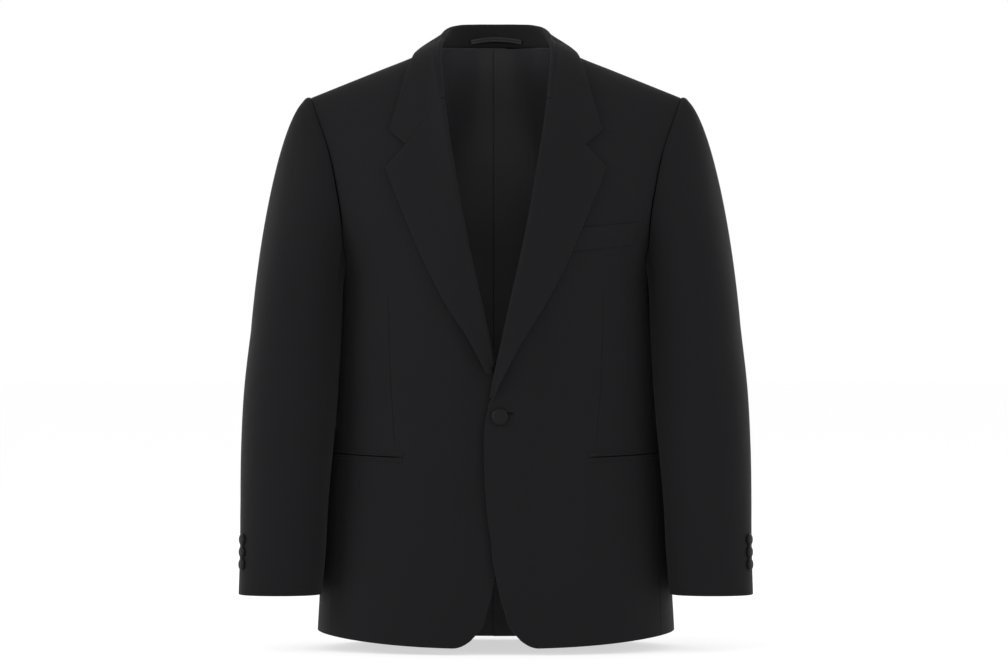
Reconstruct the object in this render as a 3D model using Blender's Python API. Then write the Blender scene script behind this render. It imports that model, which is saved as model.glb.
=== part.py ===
"""A one-button dinner jacket, worn shape with no wearer, as separate cloth walls.

Metres, +Z up. The front faces -Y and +X is the wearer's left. The origin lies between the
shoulders, level with the place where the collar seam meets the shoulder seams.
"""

import math

import bmesh
import bpy
import numpy as np

# Wall thicknesses and clearances.
CLOTH = 0.0020
LAPEL_CLOTH = 0.0024
LINING_CLOTH = 0.0010
TRIM_CLOTH = 0.0012
SEAM_GAP = 0.0003
LINING_GAP = 0.0027

# The body is a stack of rounded sections between the hem and the shoulder line.
SECTION_EXPONENT = 2.4
SECTION_ROUND = 2.0 / SECTION_EXPONENT
SHOULDER_FADE_LOW = -0.24
SHOULDER_FADE_HIGH = -0.06

# Half width of the section at each height, carried on past the armhole above the armpit.
BODY_WIDTHS = (
    # z, half_width
    (-0.760, 0.2190),
    (-0.700, 0.2178),
    (-0.660, 0.2155),
    (-0.600, 0.2110),
    (-0.550, 0.2075),
    (-0.500, 0.2035),
    (-0.440, 0.1985),
    (-0.380, 0.1940),
    (-0.335, 0.1905),
    (-0.300, 0.1880),
    (-0.270, 0.1890),
    (-0.240, 0.1980),
    (-0.200, 0.2200),
    (-0.150, 0.2430),
    (-0.100, 0.2650),
    (-0.050, 0.2860),
    (0.080, 0.3200),
)

# Where the section's widest point lies, front to back.
BODY_CENTRES = (
    # z, y
    (-0.760, 0.014),
    (-0.260, 0.014),
    (-0.180, 0.009),
    (-0.100, 0.003),
    (-0.050, 0.000),
    (0.080, 0.000),
)

# Distance of the cloth ahead of and behind that point, by the drop below the shoulder line.
BODY_DEPTHS = (
    # drop, front, back
    (0.000, 0.0000, 0.0000),
    (0.010, 0.0260, 0.0270),
    (0.030, 0.0460, 0.0480),
    (0.060, 0.0660, 0.0690),
    (0.100, 0.0890, 0.0890),
    (0.150, 0.1130, 0.1060),
    (0.200, 0.1300, 0.1160),
    (0.250, 0.1390, 0.1190),
    (0.300, 0.1420, 0.1150),
    (0.360, 0.1400, 0.1060),
    (0.430, 0.1370, 0.0980),
    (0.500, 0.1380, 0.1010),
    (0.580, 0.1420, 0.1100),
    (0.660, 0.1460, 0.1160),
    (0.760, 0.1490, 0.1190),
)

# The shoulder line, which rises towards the neck.
SHOULDER_TIP_X = 0.2257
SHOULDER_LINE = (
    # x, z
    (0.0000, 0.0660),
    (0.0250, 0.0600),
    (0.0450, 0.0420),
    (0.0600, 0.0220),
    (0.0720, 0.0110),
    (0.1000, -0.0022),
    (0.1400, -0.0182),
    (0.1800, -0.0342),
    (0.2257, -0.0525),
    (0.2600, -0.0662),
)

# Armhole seam from the armpit's shoulders up to the tip, then an oval dip under the arm.
ARMHOLE_FRONT = (
    # z, x
    (-0.236, 0.1842),
    (-0.203, 0.1860),
    (-0.165, 0.1919),
    (-0.120, 0.2018),
    (-0.081, 0.2153),
    (-0.0525, 0.2257),
)
ARMHOLE_BACK = (
    # z, x
    (-0.236, 0.1890),
    (-0.203, 0.1945),
    (-0.165, 0.2010),
    (-0.120, 0.2090),
    (-0.081, 0.2185),
    (-0.0525, 0.2257),
)
ARMHOLE_SHOULDER_Z = -0.236
ARMPIT_DIP = 0.041

# Side seams, as angles round the section from the front, at the hem and at the armhole.
FRONT_SEAM_DEGREES = (63.4, 71.0)
BACK_SEAM_DEGREES = (118.0, 108.0)

# Rows of the panels up the side seam, closer at the hem and where the lapels end.
SEAM_SHARES = (0.0, 0.03, 0.07, 0.13, 0.22, 0.35, 0.48, 0.5925, 0.64, 0.702, 0.80, 0.90, 1.0)

# Hem height at the side, and how much lower it hangs at the front and back.
HEM_SIDE_Z = -0.7010
HEM_FRONT_DROP = 0.0135
HEM_BACK_DROP = 0.0160

# Neck: back seam height, and the x where the collar seam crosses the shoulder seam.
NECK_SEAM_Z = 0.0140

# Rolled edge of the lapel, seen from the front, from the break up to the gorge.
BREAK_LINE = (
    # z, x
    (-0.4180, -0.0078),
    (-0.3998, -0.0042),
    (-0.3808, -0.0002),
    (-0.3475, 0.0072),
    (-0.3238, 0.0122),
    (-0.2882, 0.0202),
    (-0.2525, 0.0282),
    (-0.2168, 0.0357),
    (-0.1808, 0.0424),
    (-0.1449, 0.0480),
    (-0.1086, 0.0540),
    (-0.0843, 0.0575),
    (-0.0596, 0.0612),
)

# Outer edge of the lapel, from the break up to its point.
LAPEL_EDGE = (
    # z, x
    (-0.3975, 0.0030),
    (-0.3860, 0.0110),
    (-0.3433, 0.0340),
    (-0.3033, 0.0590),
    (-0.2425, 0.0895),
    (-0.1983, 0.1085),
    (-0.1589, 0.1248),
    (-0.1415, 0.1311),
)
NOTCH_INNER = (0.1066, -0.1138)
COLLAR_POINT = (0.1266, -0.0965)

# Hollow of the lapel's roll, and how far its outer edge stands off the chest.
ROLL_GAPS = (
    # z, gap
    (-0.4180, 0.0010),
    (-0.3950, 0.0016),
    (-0.3500, 0.0036),
    (-0.2800, 0.0040),
    (-0.1800, 0.0030),
    (-0.0596, 0.0024),
)
LAPEL_EDGE_GAP = 0.0022
LEFT_LAPEL_LOW_Z = -0.3950
RIGHT_LAPEL_LOW_Z = -0.3650
RIGHT_LAPEL_LOW_END = (0.0056, -0.3880)

# The left front laps over the right one at the centre.
LAP_LIFT = 0.0014
LAP_FADE_FROM = 0.015
LAP_FADE_TO = 0.055

# Front edge of the left front from the lower curve up to the break.
FRONT_EDGE = (
    # z, x
    (-0.7047, 0.0297),
    (-0.6926, 0.0190),
    (-0.6698, 0.0102),
    (-0.6349, 0.0012),
    (-0.6153, -0.0027),
    (-0.5850, -0.0059),
    (-0.5553, -0.0101),
    (-0.5256, -0.0125),
    (-0.4900, -0.0137),
    (-0.4544, -0.0133),
    (-0.4425, -0.0120),
    (-0.4295, -0.0090),
)
# The same edge over the break, below the lapel's low end.
BREAK_EDGE = (
    # z, x
    (-0.4180, -0.0078),
    (-0.4060, -0.0054),
)

# Rounded lower corner of a front: where it starts and ends, and how much it lifts the hem.
CORNER_X = 0.0297
CORNER_END_X = 0.0522
CORNER_LIFT = 0.0098

# Neck edge of the front above the gorge.
NECK_EDGE = (
    # z, x
    (-0.0380, 0.0696),
    (-0.0120, 0.0724),
    (0.0110, 0.0720),
)

# Collar, from the centre back (0) past the shoulder seam (1) to the gorge (2).
COLLAR_STATIONS = (
    # station, fold x, fold y, fold z, edge x, edge y, edge z, out x, out y, out z
    (0.00, 0.0000, 0.0650, 0.0423, 0.0000, 0.0790, 0.0020, 0.00, 1.00, 0.05),
    (0.35, 0.0260, 0.0615, 0.0420, 0.0340, 0.0745, 0.0020, 0.30, 0.95, 0.05),
    (0.65, 0.0465, 0.0490, 0.0400, 0.0650, 0.0560, 0.0022, 0.70, 0.70, 0.05),
    (0.85, 0.0585, 0.0305, 0.0350, 0.0850, 0.0290, 0.0030, 0.93, 0.35, 0.05),
    (1.00, 0.0642, 0.0060, 0.0265, 0.0965, -0.0030, 0.0020, 1.00, 0.00, 0.05),
    (1.15, 0.0656, -0.0165, 0.0125, 0.1020, -0.0230, -0.0090, 0.97, -0.20, 0.15),
    (1.40, 0.0655, -0.0370, -0.0065, 0.1085, -0.0400, -0.0260, 0.85, -0.40, 0.30),
    (1.70, 0.0638, -0.0575, -0.0300, 0.1165, -0.0580, -0.0520, 0.50, -0.65, 0.45),
)
COLLAR_STEPS = (0.0, 0.2, 0.4, 0.6, 0.8, 1.0, 1.08, 1.235, 1.37, 1.51, 1.68, 1.85, 2.0)
COLLAR_SEAM_GAP = 0.0005
COLLAR_LEAF_BULGE = 0.0035
COLLAR_LEAST_GAP = 0.0012
COLLAR_STAND_BLEND = 0.010

# Collar stations: where it ends, and from where the leaf starts to lie on the shoulder.
GORGE_STATION = 2.0
COLLAR_LIES_FROM = 0.9
COLLAR_LIES_OVER = 0.9


def smooth(rows):
    """Smooth curve through the rows: the first column is the parameter, the others the values."""
    table = np.array(sorted(rows), float)
    knots, values = table[:, 0], table[:, 1:]
    span = np.diff(knots)
    chord = np.diff(values, axis=0) / span[:, None]
    slope = np.empty_like(values)
    slope[0], slope[-1] = chord[0], chord[-1]
    share = (span[1:] / (span[:-1] + span[1:]))[:, None]
    slope[1:-1] = chord[:-1] * share + chord[1:] * (1 - share)

    def at(parameter):
        q = np.clip(np.asarray(parameter, float), knots[0], knots[-1])
        i = np.clip(np.searchsorted(knots, q, side="right") - 1, 0, len(knots) - 2)
        h = span[i]
        t = ((q - knots[i]) / h)[..., None]
        h = h[..., None]
        found = (
            (2 * t**3 - 3 * t**2 + 1) * values[i]
            + (t**3 - 2 * t**2 + t) * h * slope[i]
            + (3 * t**2 - 2 * t**3) * values[i + 1]
            + (t**3 - t**2) * h * slope[i + 1]
        )
        return found[..., 0] if values.shape[1] == 1 else found

    return at


def ease(t):
    """0 to 1 with flat ends."""
    t = np.clip(t, 0.0, 1.0)
    return t * t * (3 - 2 * t)


def unit(v):
    """Vectors of length one."""
    return v / np.maximum(np.linalg.norm(v, axis=-1, keepdims=True), 1e-12)


def point(x, y, z):
    """Coordinates joined along the last axis."""
    return np.stack(np.broadcast_arrays(x, y, z), axis=-1)


half_width = smooth(BODY_WIDTHS)
centre_y = smooth(BODY_CENTRES)
shoulder_z = smooth(SHOULDER_LINE)
depths = smooth([(math.sqrt(drop), front, back) for drop, front, back in BODY_DEPTHS])
front_armhole_x = smooth(ARMHOLE_FRONT)
back_armhole_x = smooth(ARMHOLE_BACK)
break_x = smooth(BREAK_LINE)


def shoulder_drop(x, z):
    """How far below the shoulder line a point lies, negative above it."""
    fade = ease((z - SHOULDER_FADE_LOW) / (SHOULDER_FADE_HIGH - SHOULDER_FADE_LOW))
    return shoulder_z(np.abs(x)) * fade - z


def body_depth(x, z, behind):
    """Distance of the cloth from the section's centre, before it rounds off at the side."""
    found = depths(np.sqrt(np.abs(shoulder_drop(x, z))))
    return np.where(behind, found[..., 1], found[..., 0])


def body_point(angle, z):
    """Point of the body's outer surface. The angle is 0 at the front and pi at the back."""
    angle, z = np.broadcast_arrays(np.asarray(angle, float), np.asarray(z, float))
    s, c = np.sin(angle), np.cos(angle)
    x = half_width(z) * np.sign(s) * np.abs(s) ** SECTION_ROUND
    depth = body_depth(x, z, c < 0) * np.abs(c) ** SECTION_ROUND
    return point(x, centre_y(z) - np.sign(c) * depth, z)


def body_angle(x, z, behind=False):
    """Angle round the section of the surface point at x."""
    share = np.clip(np.abs(x) / half_width(z), 0.0, 1.0)
    angle = np.sign(x) * np.arcsin(share ** (1 / SECTION_ROUND))
    return np.pi - angle if behind else angle


def body_level(p):
    """Zero on the body's surface and positive outside it."""
    x, y, z = p[..., 0], p[..., 1], p[..., 2]
    away = y - centre_y(z)
    rest = 1 - np.abs(x / half_width(z)) ** SECTION_EXPONENT
    rounding = np.sign(rest) * np.abs(rest) ** SECTION_ROUND
    reach = np.sign(shoulder_drop(x, z)) * body_depth(x, z, away > 0) ** 2
    return away**2 - np.where(rest < 0, np.abs(reach), reach) * rounding


def level_slope(p):
    """How the level changes along each axis."""
    step = 2e-5
    slopes = [
        body_level(p + step * axis) - body_level(p - step * axis) for axis in np.eye(3)
    ]
    return np.stack(slopes, axis=-1) / (2 * step)


def body_normal(p):
    """Outward direction of the body's surface."""
    return unit(level_slope(p))


def body_distance(p):
    """Distance of points from the body's surface, positive outside."""
    return body_level(p) / np.maximum(np.linalg.norm(level_slope(p), axis=-1), 1e-9)


def pushed_out(p, least):
    """Points moved away from the body until they are at least this far from it."""
    for _ in range(3):
        short = np.maximum(least - body_distance(p), 0.0)
        p = p + body_normal(p) * short[..., None]
    return p


def laid_on(p, height):
    """Points moved along the body's normal to this height over it."""
    for _ in range(4):
        p = p + body_normal(p) * (height - body_distance(p))[..., None]
    return p


def hem_z(angle):
    """Height of the hem round the body."""
    drop = np.where(np.cos(angle) > 0, HEM_FRONT_DROP, HEM_BACK_DROP)
    return HEM_SIDE_Z - drop * np.cos(angle) ** 2


ARMHOLE_FRONT_ANGLE = float(body_angle(front_armhole_x(ARMHOLE_SHOULDER_Z), ARMHOLE_SHOULDER_Z))
ARMHOLE_BACK_ANGLE = float(
    body_angle(back_armhole_x(ARMHOLE_SHOULDER_Z), ARMHOLE_SHOULDER_Z, behind=True)
)
ARMPIT_ANGLE = (ARMHOLE_FRONT_ANGLE + ARMHOLE_BACK_ANGLE) / 2
ARMPIT_SPAN = (ARMHOLE_BACK_ANGLE - ARMHOLE_FRONT_ANGLE) / 2
ARMPIT_Z = ARMHOLE_SHOULDER_Z - ARMPIT_DIP
SHOULDER_TIP_Z = float(shoulder_z(SHOULDER_TIP_X))


def armhole_z_at(angle):
    """Height of the dip under the arm at an angle."""
    share = np.clip((angle - ARMPIT_ANGLE) / ARMPIT_SPAN, -1.0, 1.0)
    return ARMHOLE_SHOULDER_Z - ARMPIT_DIP * np.sqrt(1 - share**2)


# Fine steps along a path before it is divided evenly.
PATH_STEPS = 200


def evenly(pairs, count):
    """Pairs (angle, z) along a path, thinned to `count` even steps on the body."""
    p = body_point(pairs[:, 0], pairs[:, 1])
    run = np.concatenate([[0], np.cumsum(np.linalg.norm(np.diff(p, axis=0), axis=-1))])
    goal = np.linspace(0, run[-1], count + 1)
    return np.stack([np.interp(goal, run, pairs[:, k]) for k in (0, 1)], axis=-1)


def armhole_half(behind, count):
    """Armhole seam from the side seam up to the shoulder tip."""
    seam = math.radians((BACK_SEAM_DEGREES if behind else FRONT_SEAM_DEGREES)[1])
    sign = 1 if behind else -1
    start = math.acos(np.clip(sign * (seam - ARMPIT_ANGLE) / ARMPIT_SPAN, -1, 1))
    turn = np.linspace(start, 0, PATH_STEPS)[:-1]
    angle = ARMPIT_ANGLE + sign * ARMPIT_SPAN * np.cos(turn)
    dip = np.stack([angle, ARMHOLE_SHOULDER_Z - ARMPIT_DIP * np.sin(turn)], axis=-1)
    share = np.linspace(0, 1, PATH_STEPS) ** 2
    z = SHOULDER_TIP_Z + (ARMHOLE_SHOULDER_Z - SHOULDER_TIP_Z) * share[::-1]
    table = back_armhole_x if behind else front_armhole_x
    upper = np.stack([body_angle(table(z), z, behind), z], axis=-1)
    return evenly(np.concatenate([dip, upper]), count)


def side_seam(behind):
    """Side seam from the hem up to the armhole."""
    low, high = np.radians(BACK_SEAM_DEGREES if behind else FRONT_SEAM_DEGREES)
    t = np.array(SEAM_SHARES)
    bottom, top = hem_z(low), armhole_z_at(high)
    return np.stack([low + (high - low) * t, bottom + (top - bottom) * t], axis=-1)


def coons(left, right, bottom, top, u, t):
    """Grid of values filled in between four edges that share their corners."""
    left, right = left[:, None], right[:, None]
    bottom, top = bottom[None], top[None]
    u, t = u[None, :, None], t[:, None, None]
    corners = (
        (1 - u) * (1 - t) * bottom[:, :1]
        + u * (1 - t) * bottom[:, -1:]
        + (1 - u) * t * top[:, :1]
        + u * t * top[:, -1:]
    )
    return (1 - u) * left + u * right + (1 - t) * bottom + t * top - corners


# Rows and columns of the walls. The two arm seams lie on these columns of the sleeve.
SIDE_ROWS = len(SEAM_SHARES) - 1
ARM_ROWS = 9
DIP_COLUMNS = 5
FRONT_COLUMNS = 9
NECK_COLUMNS = 5
SHOULDER_COLUMNS = 6
CAP_ROWS = 7
SLEEVE_ROWS = 6
FOLD_COLUMNS = 7
GORGE_COLUMNS = 4
POINT_COLUMNS = 2
LAPEL_ROWS = 10


def crossing(rows, columns):
    """Cross product of two fields of directions, made unit length."""
    return unit(np.cross(rows, columns))


def inset(p, normals):
    """The grid with each border moved in by half a seam's gap, square to the border."""
    p = p.copy()
    borders = (
        ((0, slice(None)), (1, slice(None))),
        ((-1, slice(None)), (-2, slice(None))),
        ((slice(None), 0), (slice(None), 1)),
        ((slice(None), -1), (slice(None), -2)),
    )
    shift = np.zeros_like(p)
    for edge, inner in borders:
        inward = crossing(normals[edge], np.gradient(p[edge], axis=0))
        inward *= np.sign(np.sum(inward * (p[inner] - p[edge]), axis=-1, keepdims=True))
        shift[edge] += inward * SEAM_GAP / 2
    return p + shift


def material(name, colour, roughness, sheen):
    """Plain cloth-like material."""
    made = bpy.data.materials.new(name)
    made.use_nodes = True
    shader = made.node_tree.nodes["Principled BSDF"]
    shader.inputs["Base Color"].default_value = (*colour, 1.0)
    shader.inputs["Roughness"].default_value = roughness
    shader.inputs["Metallic"].default_value = 0.0
    shader.inputs["Sheen Weight"].default_value = sheen
    return made


WOOL = ((0.0150, 0.0150, 0.0165), 0.85, 0.25)
LINING = ((0.0120, 0.0120, 0.0135), 0.45, 0.10)
BUTTON_CLOTH = ((0.0130, 0.0130, 0.0145), 0.55, 0.15)


def add_mesh(name, vertices, faces, look):
    """One closed object, facing outwards and shaded smooth."""
    mesh = bpy.data.meshes.new(name)
    mesh.from_pydata([tuple(map(float, v)) for v in vertices], [], faces)
    work = bmesh.new()
    work.from_mesh(mesh)
    bmesh.ops.recalc_face_normals(work, faces=work.faces)
    work.to_mesh(mesh)
    work.free()
    mesh.materials.append(material(name, *look))
    mesh.shade_smooth()
    mesh.set_sharp_from_angle(angle=math.radians(45))
    made = bpy.data.objects.new(name, mesh)
    bpy.context.collection.objects.link(made)
    return made


def add_wall(name, outer, depth, look, side=1):
    """Closed wall between a grid and the same grid moved by `depth`, mirrored when side is -1."""
    rows, columns = outer.shape[:2]
    both = np.concatenate([outer.reshape(-1, 3), (outer + depth).reshape(-1, 3)])
    both = both * np.array([side, 1, 1])
    size = rows * columns

    def at(i, j, layer):
        return layer * size + i * columns + j

    faces = []
    for i in range(rows - 1):
        for j in range(columns - 1):
            quad = ((i, j), (i, j + 1), (i + 1, j + 1), (i + 1, j))
            faces.append([at(*corner, 0) for corner in quad])
            faces.append([at(*corner, 1) for corner in reversed(quad)])
    border = [(0, j) for j in range(columns - 1)]
    border += [(i, columns - 1) for i in range(rows - 1)]
    border += [(rows - 1, j) for j in range(columns - 1, 0, -1)]
    border += [(i, 0) for i in range(rows - 1, 0, -1)]
    for a, b in zip(border, border[1:] + border[:1]):
        faces.append([at(*b, 0), at(*a, 0), at(*a, 1), at(*b, 1)])
    return add_mesh(name, both, faces, look)


def lap_lift(x, lift):
    """Normal shift of a front at x, full at the centre and none farther out."""
    fade = 1 - ease((x - LAP_FADE_FROM) / (LAP_FADE_TO - LAP_FADE_FROM))
    return lift * fade


def over_front(x, z, height, lift):
    """Point this high over a front, and the front's normal there."""
    p = body_point(body_angle(x, z), z)
    n = body_normal(p)
    return p + n * (height + lap_lift(np.asarray(x), lift))[..., None], n


roll_gap = smooth(ROLL_GAPS)
lapel_edge_x = smooth(LAPEL_EDGE)


def roll_radius(z):
    """Outer radius of the lapel's roll."""
    return roll_gap(z) / 2 + LAPEL_CLOTH


def recessed_edge():
    """Front edge, then the seam hidden behind the roll, then the neck edge."""
    rows = list(FRONT_EDGE) + list(BREAK_EDGE)
    for z, x in BREAK_LINE:
        if z > LEFT_LAPEL_LOW_Z:
            rows.append((z, x + float(roll_radius(z))))
    start = LEFT_LAPEL_LOW_Z
    rows.append((start, float(break_x(start)) + float(roll_radius(start))))
    return smooth(sorted(rows) + list(NECK_EDGE))


front_edge_x = recessed_edge()
GORGE_Z = BREAK_LINE[-1][0]


def share_of(values):
    """Values as a share of the way from the first to the last."""
    return (values - values[0]) / (values[-1] - values[0])


def front_pairs():
    """(angle, z) grid of a front, hem first."""
    right = np.concatenate([side_seam(False), armhole_half(False, ARM_ROWS)[1:]])
    t = share_of(right[:, 1])
    u = np.linspace(0, 1, FRONT_COLUMNS + 1)
    low, high = FRONT_EDGE[0][0], NECK_EDGE[-1][0]
    z = low + (high - low) * t
    left = np.stack([body_angle(front_edge_x(z), z), z], axis=-1)
    angle = left[0, 0] + (right[0, 0] - left[0, 0]) * u
    x = body_point(angle, hem_z(angle))[:, 0]
    corner = np.clip((CORNER_END_X - x) / (CORNER_END_X - CORNER_X), 0, 1)
    bottom = np.stack([angle, hem_z(angle) + CORNER_LIFT * corner**2], axis=-1)
    bottom[0], bottom[-1] = left[0], right[0]
    x = NECK_EDGE[-1][1] + (SHOULDER_TIP_X - NECK_EDGE[-1][1]) * u
    z = shoulder_z(x)
    top = np.stack([body_angle(x, z), z], axis=-1)
    top[0], top[-1] = left[-1], right[-1]
    return coons(left, right, bottom, top, u, t)


def neck_seam_z(x):
    """Height of the back neck seam."""
    return NECK_SEAM_Z - (NECK_SEAM_Z - NECK_EDGE[-1][0]) * (x / NECK_EDGE[-1][1]) ** 2


def back_top(neck_columns, shoulder_columns):
    """(angle, z) along the back's neck seam and shoulder seam."""
    neck_x = NECK_EDGE[-1][1]
    neck = neck_x * np.linspace(0, 1, neck_columns + 1)
    shoulder = neck_x + (SHOULDER_TIP_X - neck_x) * np.linspace(0, 1, shoulder_columns + 1)
    x = np.concatenate([neck, shoulder[1:]])
    z = np.concatenate([neck_seam_z(neck), shoulder_z(shoulder[1:])])
    return np.stack([body_angle(x, z, behind=True), z], axis=-1)


def back_pairs():
    """(angle, z) grid of a back, hem first."""
    right = np.concatenate([side_seam(True), armhole_half(True, ARM_ROWS)[1:]])
    t = share_of(right[:, 1])
    u = np.linspace(0, 1, NECK_COLUMNS + SHOULDER_COLUMNS + 1)
    top = back_top(NECK_COLUMNS, SHOULDER_COLUMNS)
    top[-1] = right[-1]
    angle = math.pi + (right[0, 0] - math.pi) * u
    bottom = np.stack([angle, hem_z(angle)], axis=-1)
    z = bottom[0, 1] + (top[0, 1] - bottom[0, 1]) * t
    left = np.stack([np.full_like(z, math.pi), z], axis=-1)
    return coons(left, right, bottom, top, u, t)


def side_pairs():
    """(angle, z) grid of a side panel, hem first."""
    left, right = side_seam(False), side_seam(True)
    u, t = np.linspace(0, 1, DIP_COLUMNS + 1), share_of(left[:, 1])
    angle = left[0, 0] + (right[0, 0] - left[0, 0]) * u
    bottom = np.stack([angle, hem_z(angle)], axis=-1)
    angle = left[-1, 0] + (right[-1, 0] - left[-1, 0]) * u
    top = np.stack([angle, armhole_z_at(angle)], axis=-1)
    return coons(left, right, bottom, top, u, t)


def armhole_loop():
    """Armhole from the shoulder tip down the front, under the arm and up the back."""
    front = armhole_half(False, ARM_ROWS)[::-1]
    back = armhole_half(True, ARM_ROWS)
    angle = np.linspace(front[-1, 0], back[0, 0], DIP_COLUMNS + 1)[1:-1]
    dip = np.stack([angle, armhole_z_at(angle)], axis=-1)
    loop = np.concatenate([front, dip, back[:-1]])
    return body_point(loop[:, 0], loop[:, 1])


# Sleeve sections below the cap, as rounded rings round the arm.
RING_ROUND = 2.0 / 2.2
SLEEVE_RINGS = (
    # z, centre x, centre y, half x, half y
    (-0.3355, 0.2418, -0.0260, 0.0553, 0.0680),
    (-0.4090, 0.2475, -0.0360, 0.0567, 0.0635),
    (-0.4750, 0.2517, -0.0460, 0.0554, 0.0580),
    (-0.5514, 0.2555, -0.0540, 0.0528, 0.0520),
    (-0.6000, 0.2567, -0.0580, 0.0518, 0.0480),
    (-0.6536, 0.2597, -0.0610, 0.0502, 0.0445),
)
BICEP_Z = SLEEVE_RINGS[0][0]
CUFF_Z = SLEEVE_RINGS[-1][0]
UNDERARM_TURN = math.radians(22)
CUFF_TURN = math.radians(55)
CUFF_TURN_MORE = math.radians(15)
CUFF_TURN_MOST_AT = math.radians(300)
CAP_FULLNESS = 0.35
CAP_ROUNDNESS = 0.90
SLEEVE_CLEARANCE = 0.0016
SLEEVE_CLEAR_FROM = -0.262
SLEEVE_CLEAR_OVER = 0.020
sleeve_ring = smooth(SLEEVE_RINGS)


def ring_point(turn, z):
    """Point of the sleeve below the cap: 0 faces out, a quarter turn faces the front."""
    ring = sleeve_ring(z)
    c, s = np.cos(turn), np.sin(turn)
    x = ring[..., 0] + ring[..., 2] * np.sign(c) * np.abs(c) ** RING_ROUND
    y = ring[..., 1] - ring[..., 3] * np.sign(s) * np.abs(s) ** RING_ROUND
    return point(x, y, z)


def sleeve_grid(loop):
    """Outer surface of the sleeve, cap first, one column for each point of the armhole."""
    closed = np.concatenate([loop, loop[:1]])
    run = np.concatenate([[0], np.cumsum(np.linalg.norm(np.diff(closed, axis=0), axis=-1))])
    share = (run / run[-1])[:-1]
    turn = 2 * math.pi * share + UNDERARM_TURN * np.sin(math.pi * share) ** 2
    bicep = ring_point(turn, np.full(len(turn), BICEP_Z))
    rows = []
    for s in np.linspace(0, 1, CAP_ROWS + 1):
        p = loop + (bicep - loop) * (s + CAP_FULLNESS * s**3 * (1 - s))
        p[:, 1] += (bicep - loop)[:, 1] * CAP_ROUNDNESS * s * (1 - s) ** 1.5
        p[:, 2] = loop[:, 2] + (BICEP_Z - loop[:, 2]) * s**2
        rows.append(p)
    more = CUFF_TURN + CUFF_TURN_MORE * np.cos(turn - CUFF_TURN_MOST_AT)
    for s in np.linspace(0, 1, SLEEVE_ROWS + 1)[1:]:
        z = np.full(len(turn), BICEP_Z + (CUFF_Z - BICEP_Z) * s)
        rows.append(ring_point(turn + more * ease(s), z))
    p = np.array(rows)
    least = SLEEVE_CLEARANCE * ease((SLEEVE_CLEAR_FROM - p[1:, :, 2]) / SLEEVE_CLEAR_OVER)
    near = least > 0
    p[1:][near] = pushed_out(p[1:][near], least[near])
    return p


def ring_normals(p):
    """Normals of a grid whose columns close on themselves."""
    return crossing(np.roll(p, -1, axis=1) - np.roll(p, 1, axis=1), np.gradient(p, axis=0))


def armhole_depths(loop, body_n, sleeve_n):
    """Wall directions at the armhole: shared where the seam stands proud, else each its own."""
    along = np.roll(loop, -1, axis=0) - np.roll(loop, 1, axis=0)
    outward = crossing(body_n, along)
    proud = np.sum(sleeve_n * outward, axis=-1, keepdims=True) > 0
    shared = unit(body_n + sleeve_n)
    shared = shared / np.sum(shared * body_n, axis=-1, keepdims=True)
    body = -CLOTH * np.where(proud, shared, body_n)
    sleeve = -CLOTH * np.where(proud, shared, sleeve_n)
    return body, sleeve


def add_body(side, name, lift, body_depths):
    """Front, side panel and back of one side."""
    pairs = front_pairs()
    p = body_point(pairs[..., 0], pairs[..., 1])
    n = body_normal(p)
    depth = -CLOTH * n
    depth[SIDE_ROWS:, -1] = body_depths[ARM_ROWS::-1]
    p = inset(p + n * lap_lift(p[..., 0], lift)[..., None], n)
    add_wall(f"front_{name}", p, depth, WOOL, side)

    pairs = side_pairs()
    p = body_point(pairs[..., 0], pairs[..., 1])
    n = body_normal(p)
    depth = -CLOTH * n
    depth[-1] = body_depths[ARM_ROWS : ARM_ROWS + DIP_COLUMNS + 1]
    add_wall(f"side_{name}", inset(p, n), depth, WOOL, side)

    pairs = back_pairs()
    p = body_point(pairs[..., 0], pairs[..., 1])
    n = body_normal(p)
    depth = -CLOTH * n
    depth[SIDE_ROWS:-1, -1] = body_depths[ARM_ROWS + DIP_COLUMNS :]
    depth[-1, -1] = body_depths[0]
    add_wall(f"back_{name}", inset(p, n), depth, WOOL, side)


FOREARM_SEAM = ARM_ROWS
ELBOW_SEAM = 2 * ARM_ROWS + DIP_COLUMNS - 4


def add_sleeve(side, name, grid, normals, sleeve_depths):
    """Topsleeve over the outside of the arm and undersleeve along the inside."""
    count = grid.shape[1]
    depth = -CLOTH * normals
    depth[0] = sleeve_depths
    outer = list(range(ELBOW_SEAM, count)) + list(range(FOREARM_SEAM + 1))
    inner = list(range(FOREARM_SEAM, ELBOW_SEAM + 1))
    for piece, columns in (("topsleeve", outer), ("undersleeve", inner)):
        p = inset(grid[:, columns], normals[:, columns])
        add_wall(f"{piece}_{name}", p, depth[:, columns], WOOL, side)


def fold_frame(z, lift):
    """Seam behind the roll: point, normal and direction to the centre."""
    p, n = over_front(front_edge_x(z), z, 0.0, lift)
    step = 0.002
    above = over_front(front_edge_x(z + step), z + step, 0.0, lift)[0]
    below = over_front(front_edge_x(z - step), z - step, 0.0, lift)[0]
    down = below - above
    down = unit(down - n * np.sum(down * n, axis=-1, keepdims=True))
    return p, n, np.cross(down, n)


def roll_arc(centre, out, apex, radius, share):
    """Points and normals round a roll, from the hidden side (0) to the leaf (1)."""
    beta = math.pi * share[:, None]
    n = -out * np.cos(beta) + apex * np.sin(beta)
    return centre + n * radius, n


def leaf_line(low, corner, tip, counts):
    """(x, z) pairs in straight runs from one point through the next."""
    first = np.linspace(low, corner, counts[0] + 1)
    return np.concatenate([first, np.linspace(corner, tip, counts[1] + 1)[1:]])


def leaf_shares():
    """Share of the way across the leaf for each of its columns, the notch at its own."""
    return np.linspace(0, 1, GORGE_COLUMNS + POINT_COLUMNS + 1)


def leaf_height(share, gap):
    """Height of the leaf's upper side over the chest."""
    return LAPEL_CLOTH + gap + (LAPEL_EDGE_GAP - gap) * ease(share)


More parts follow.
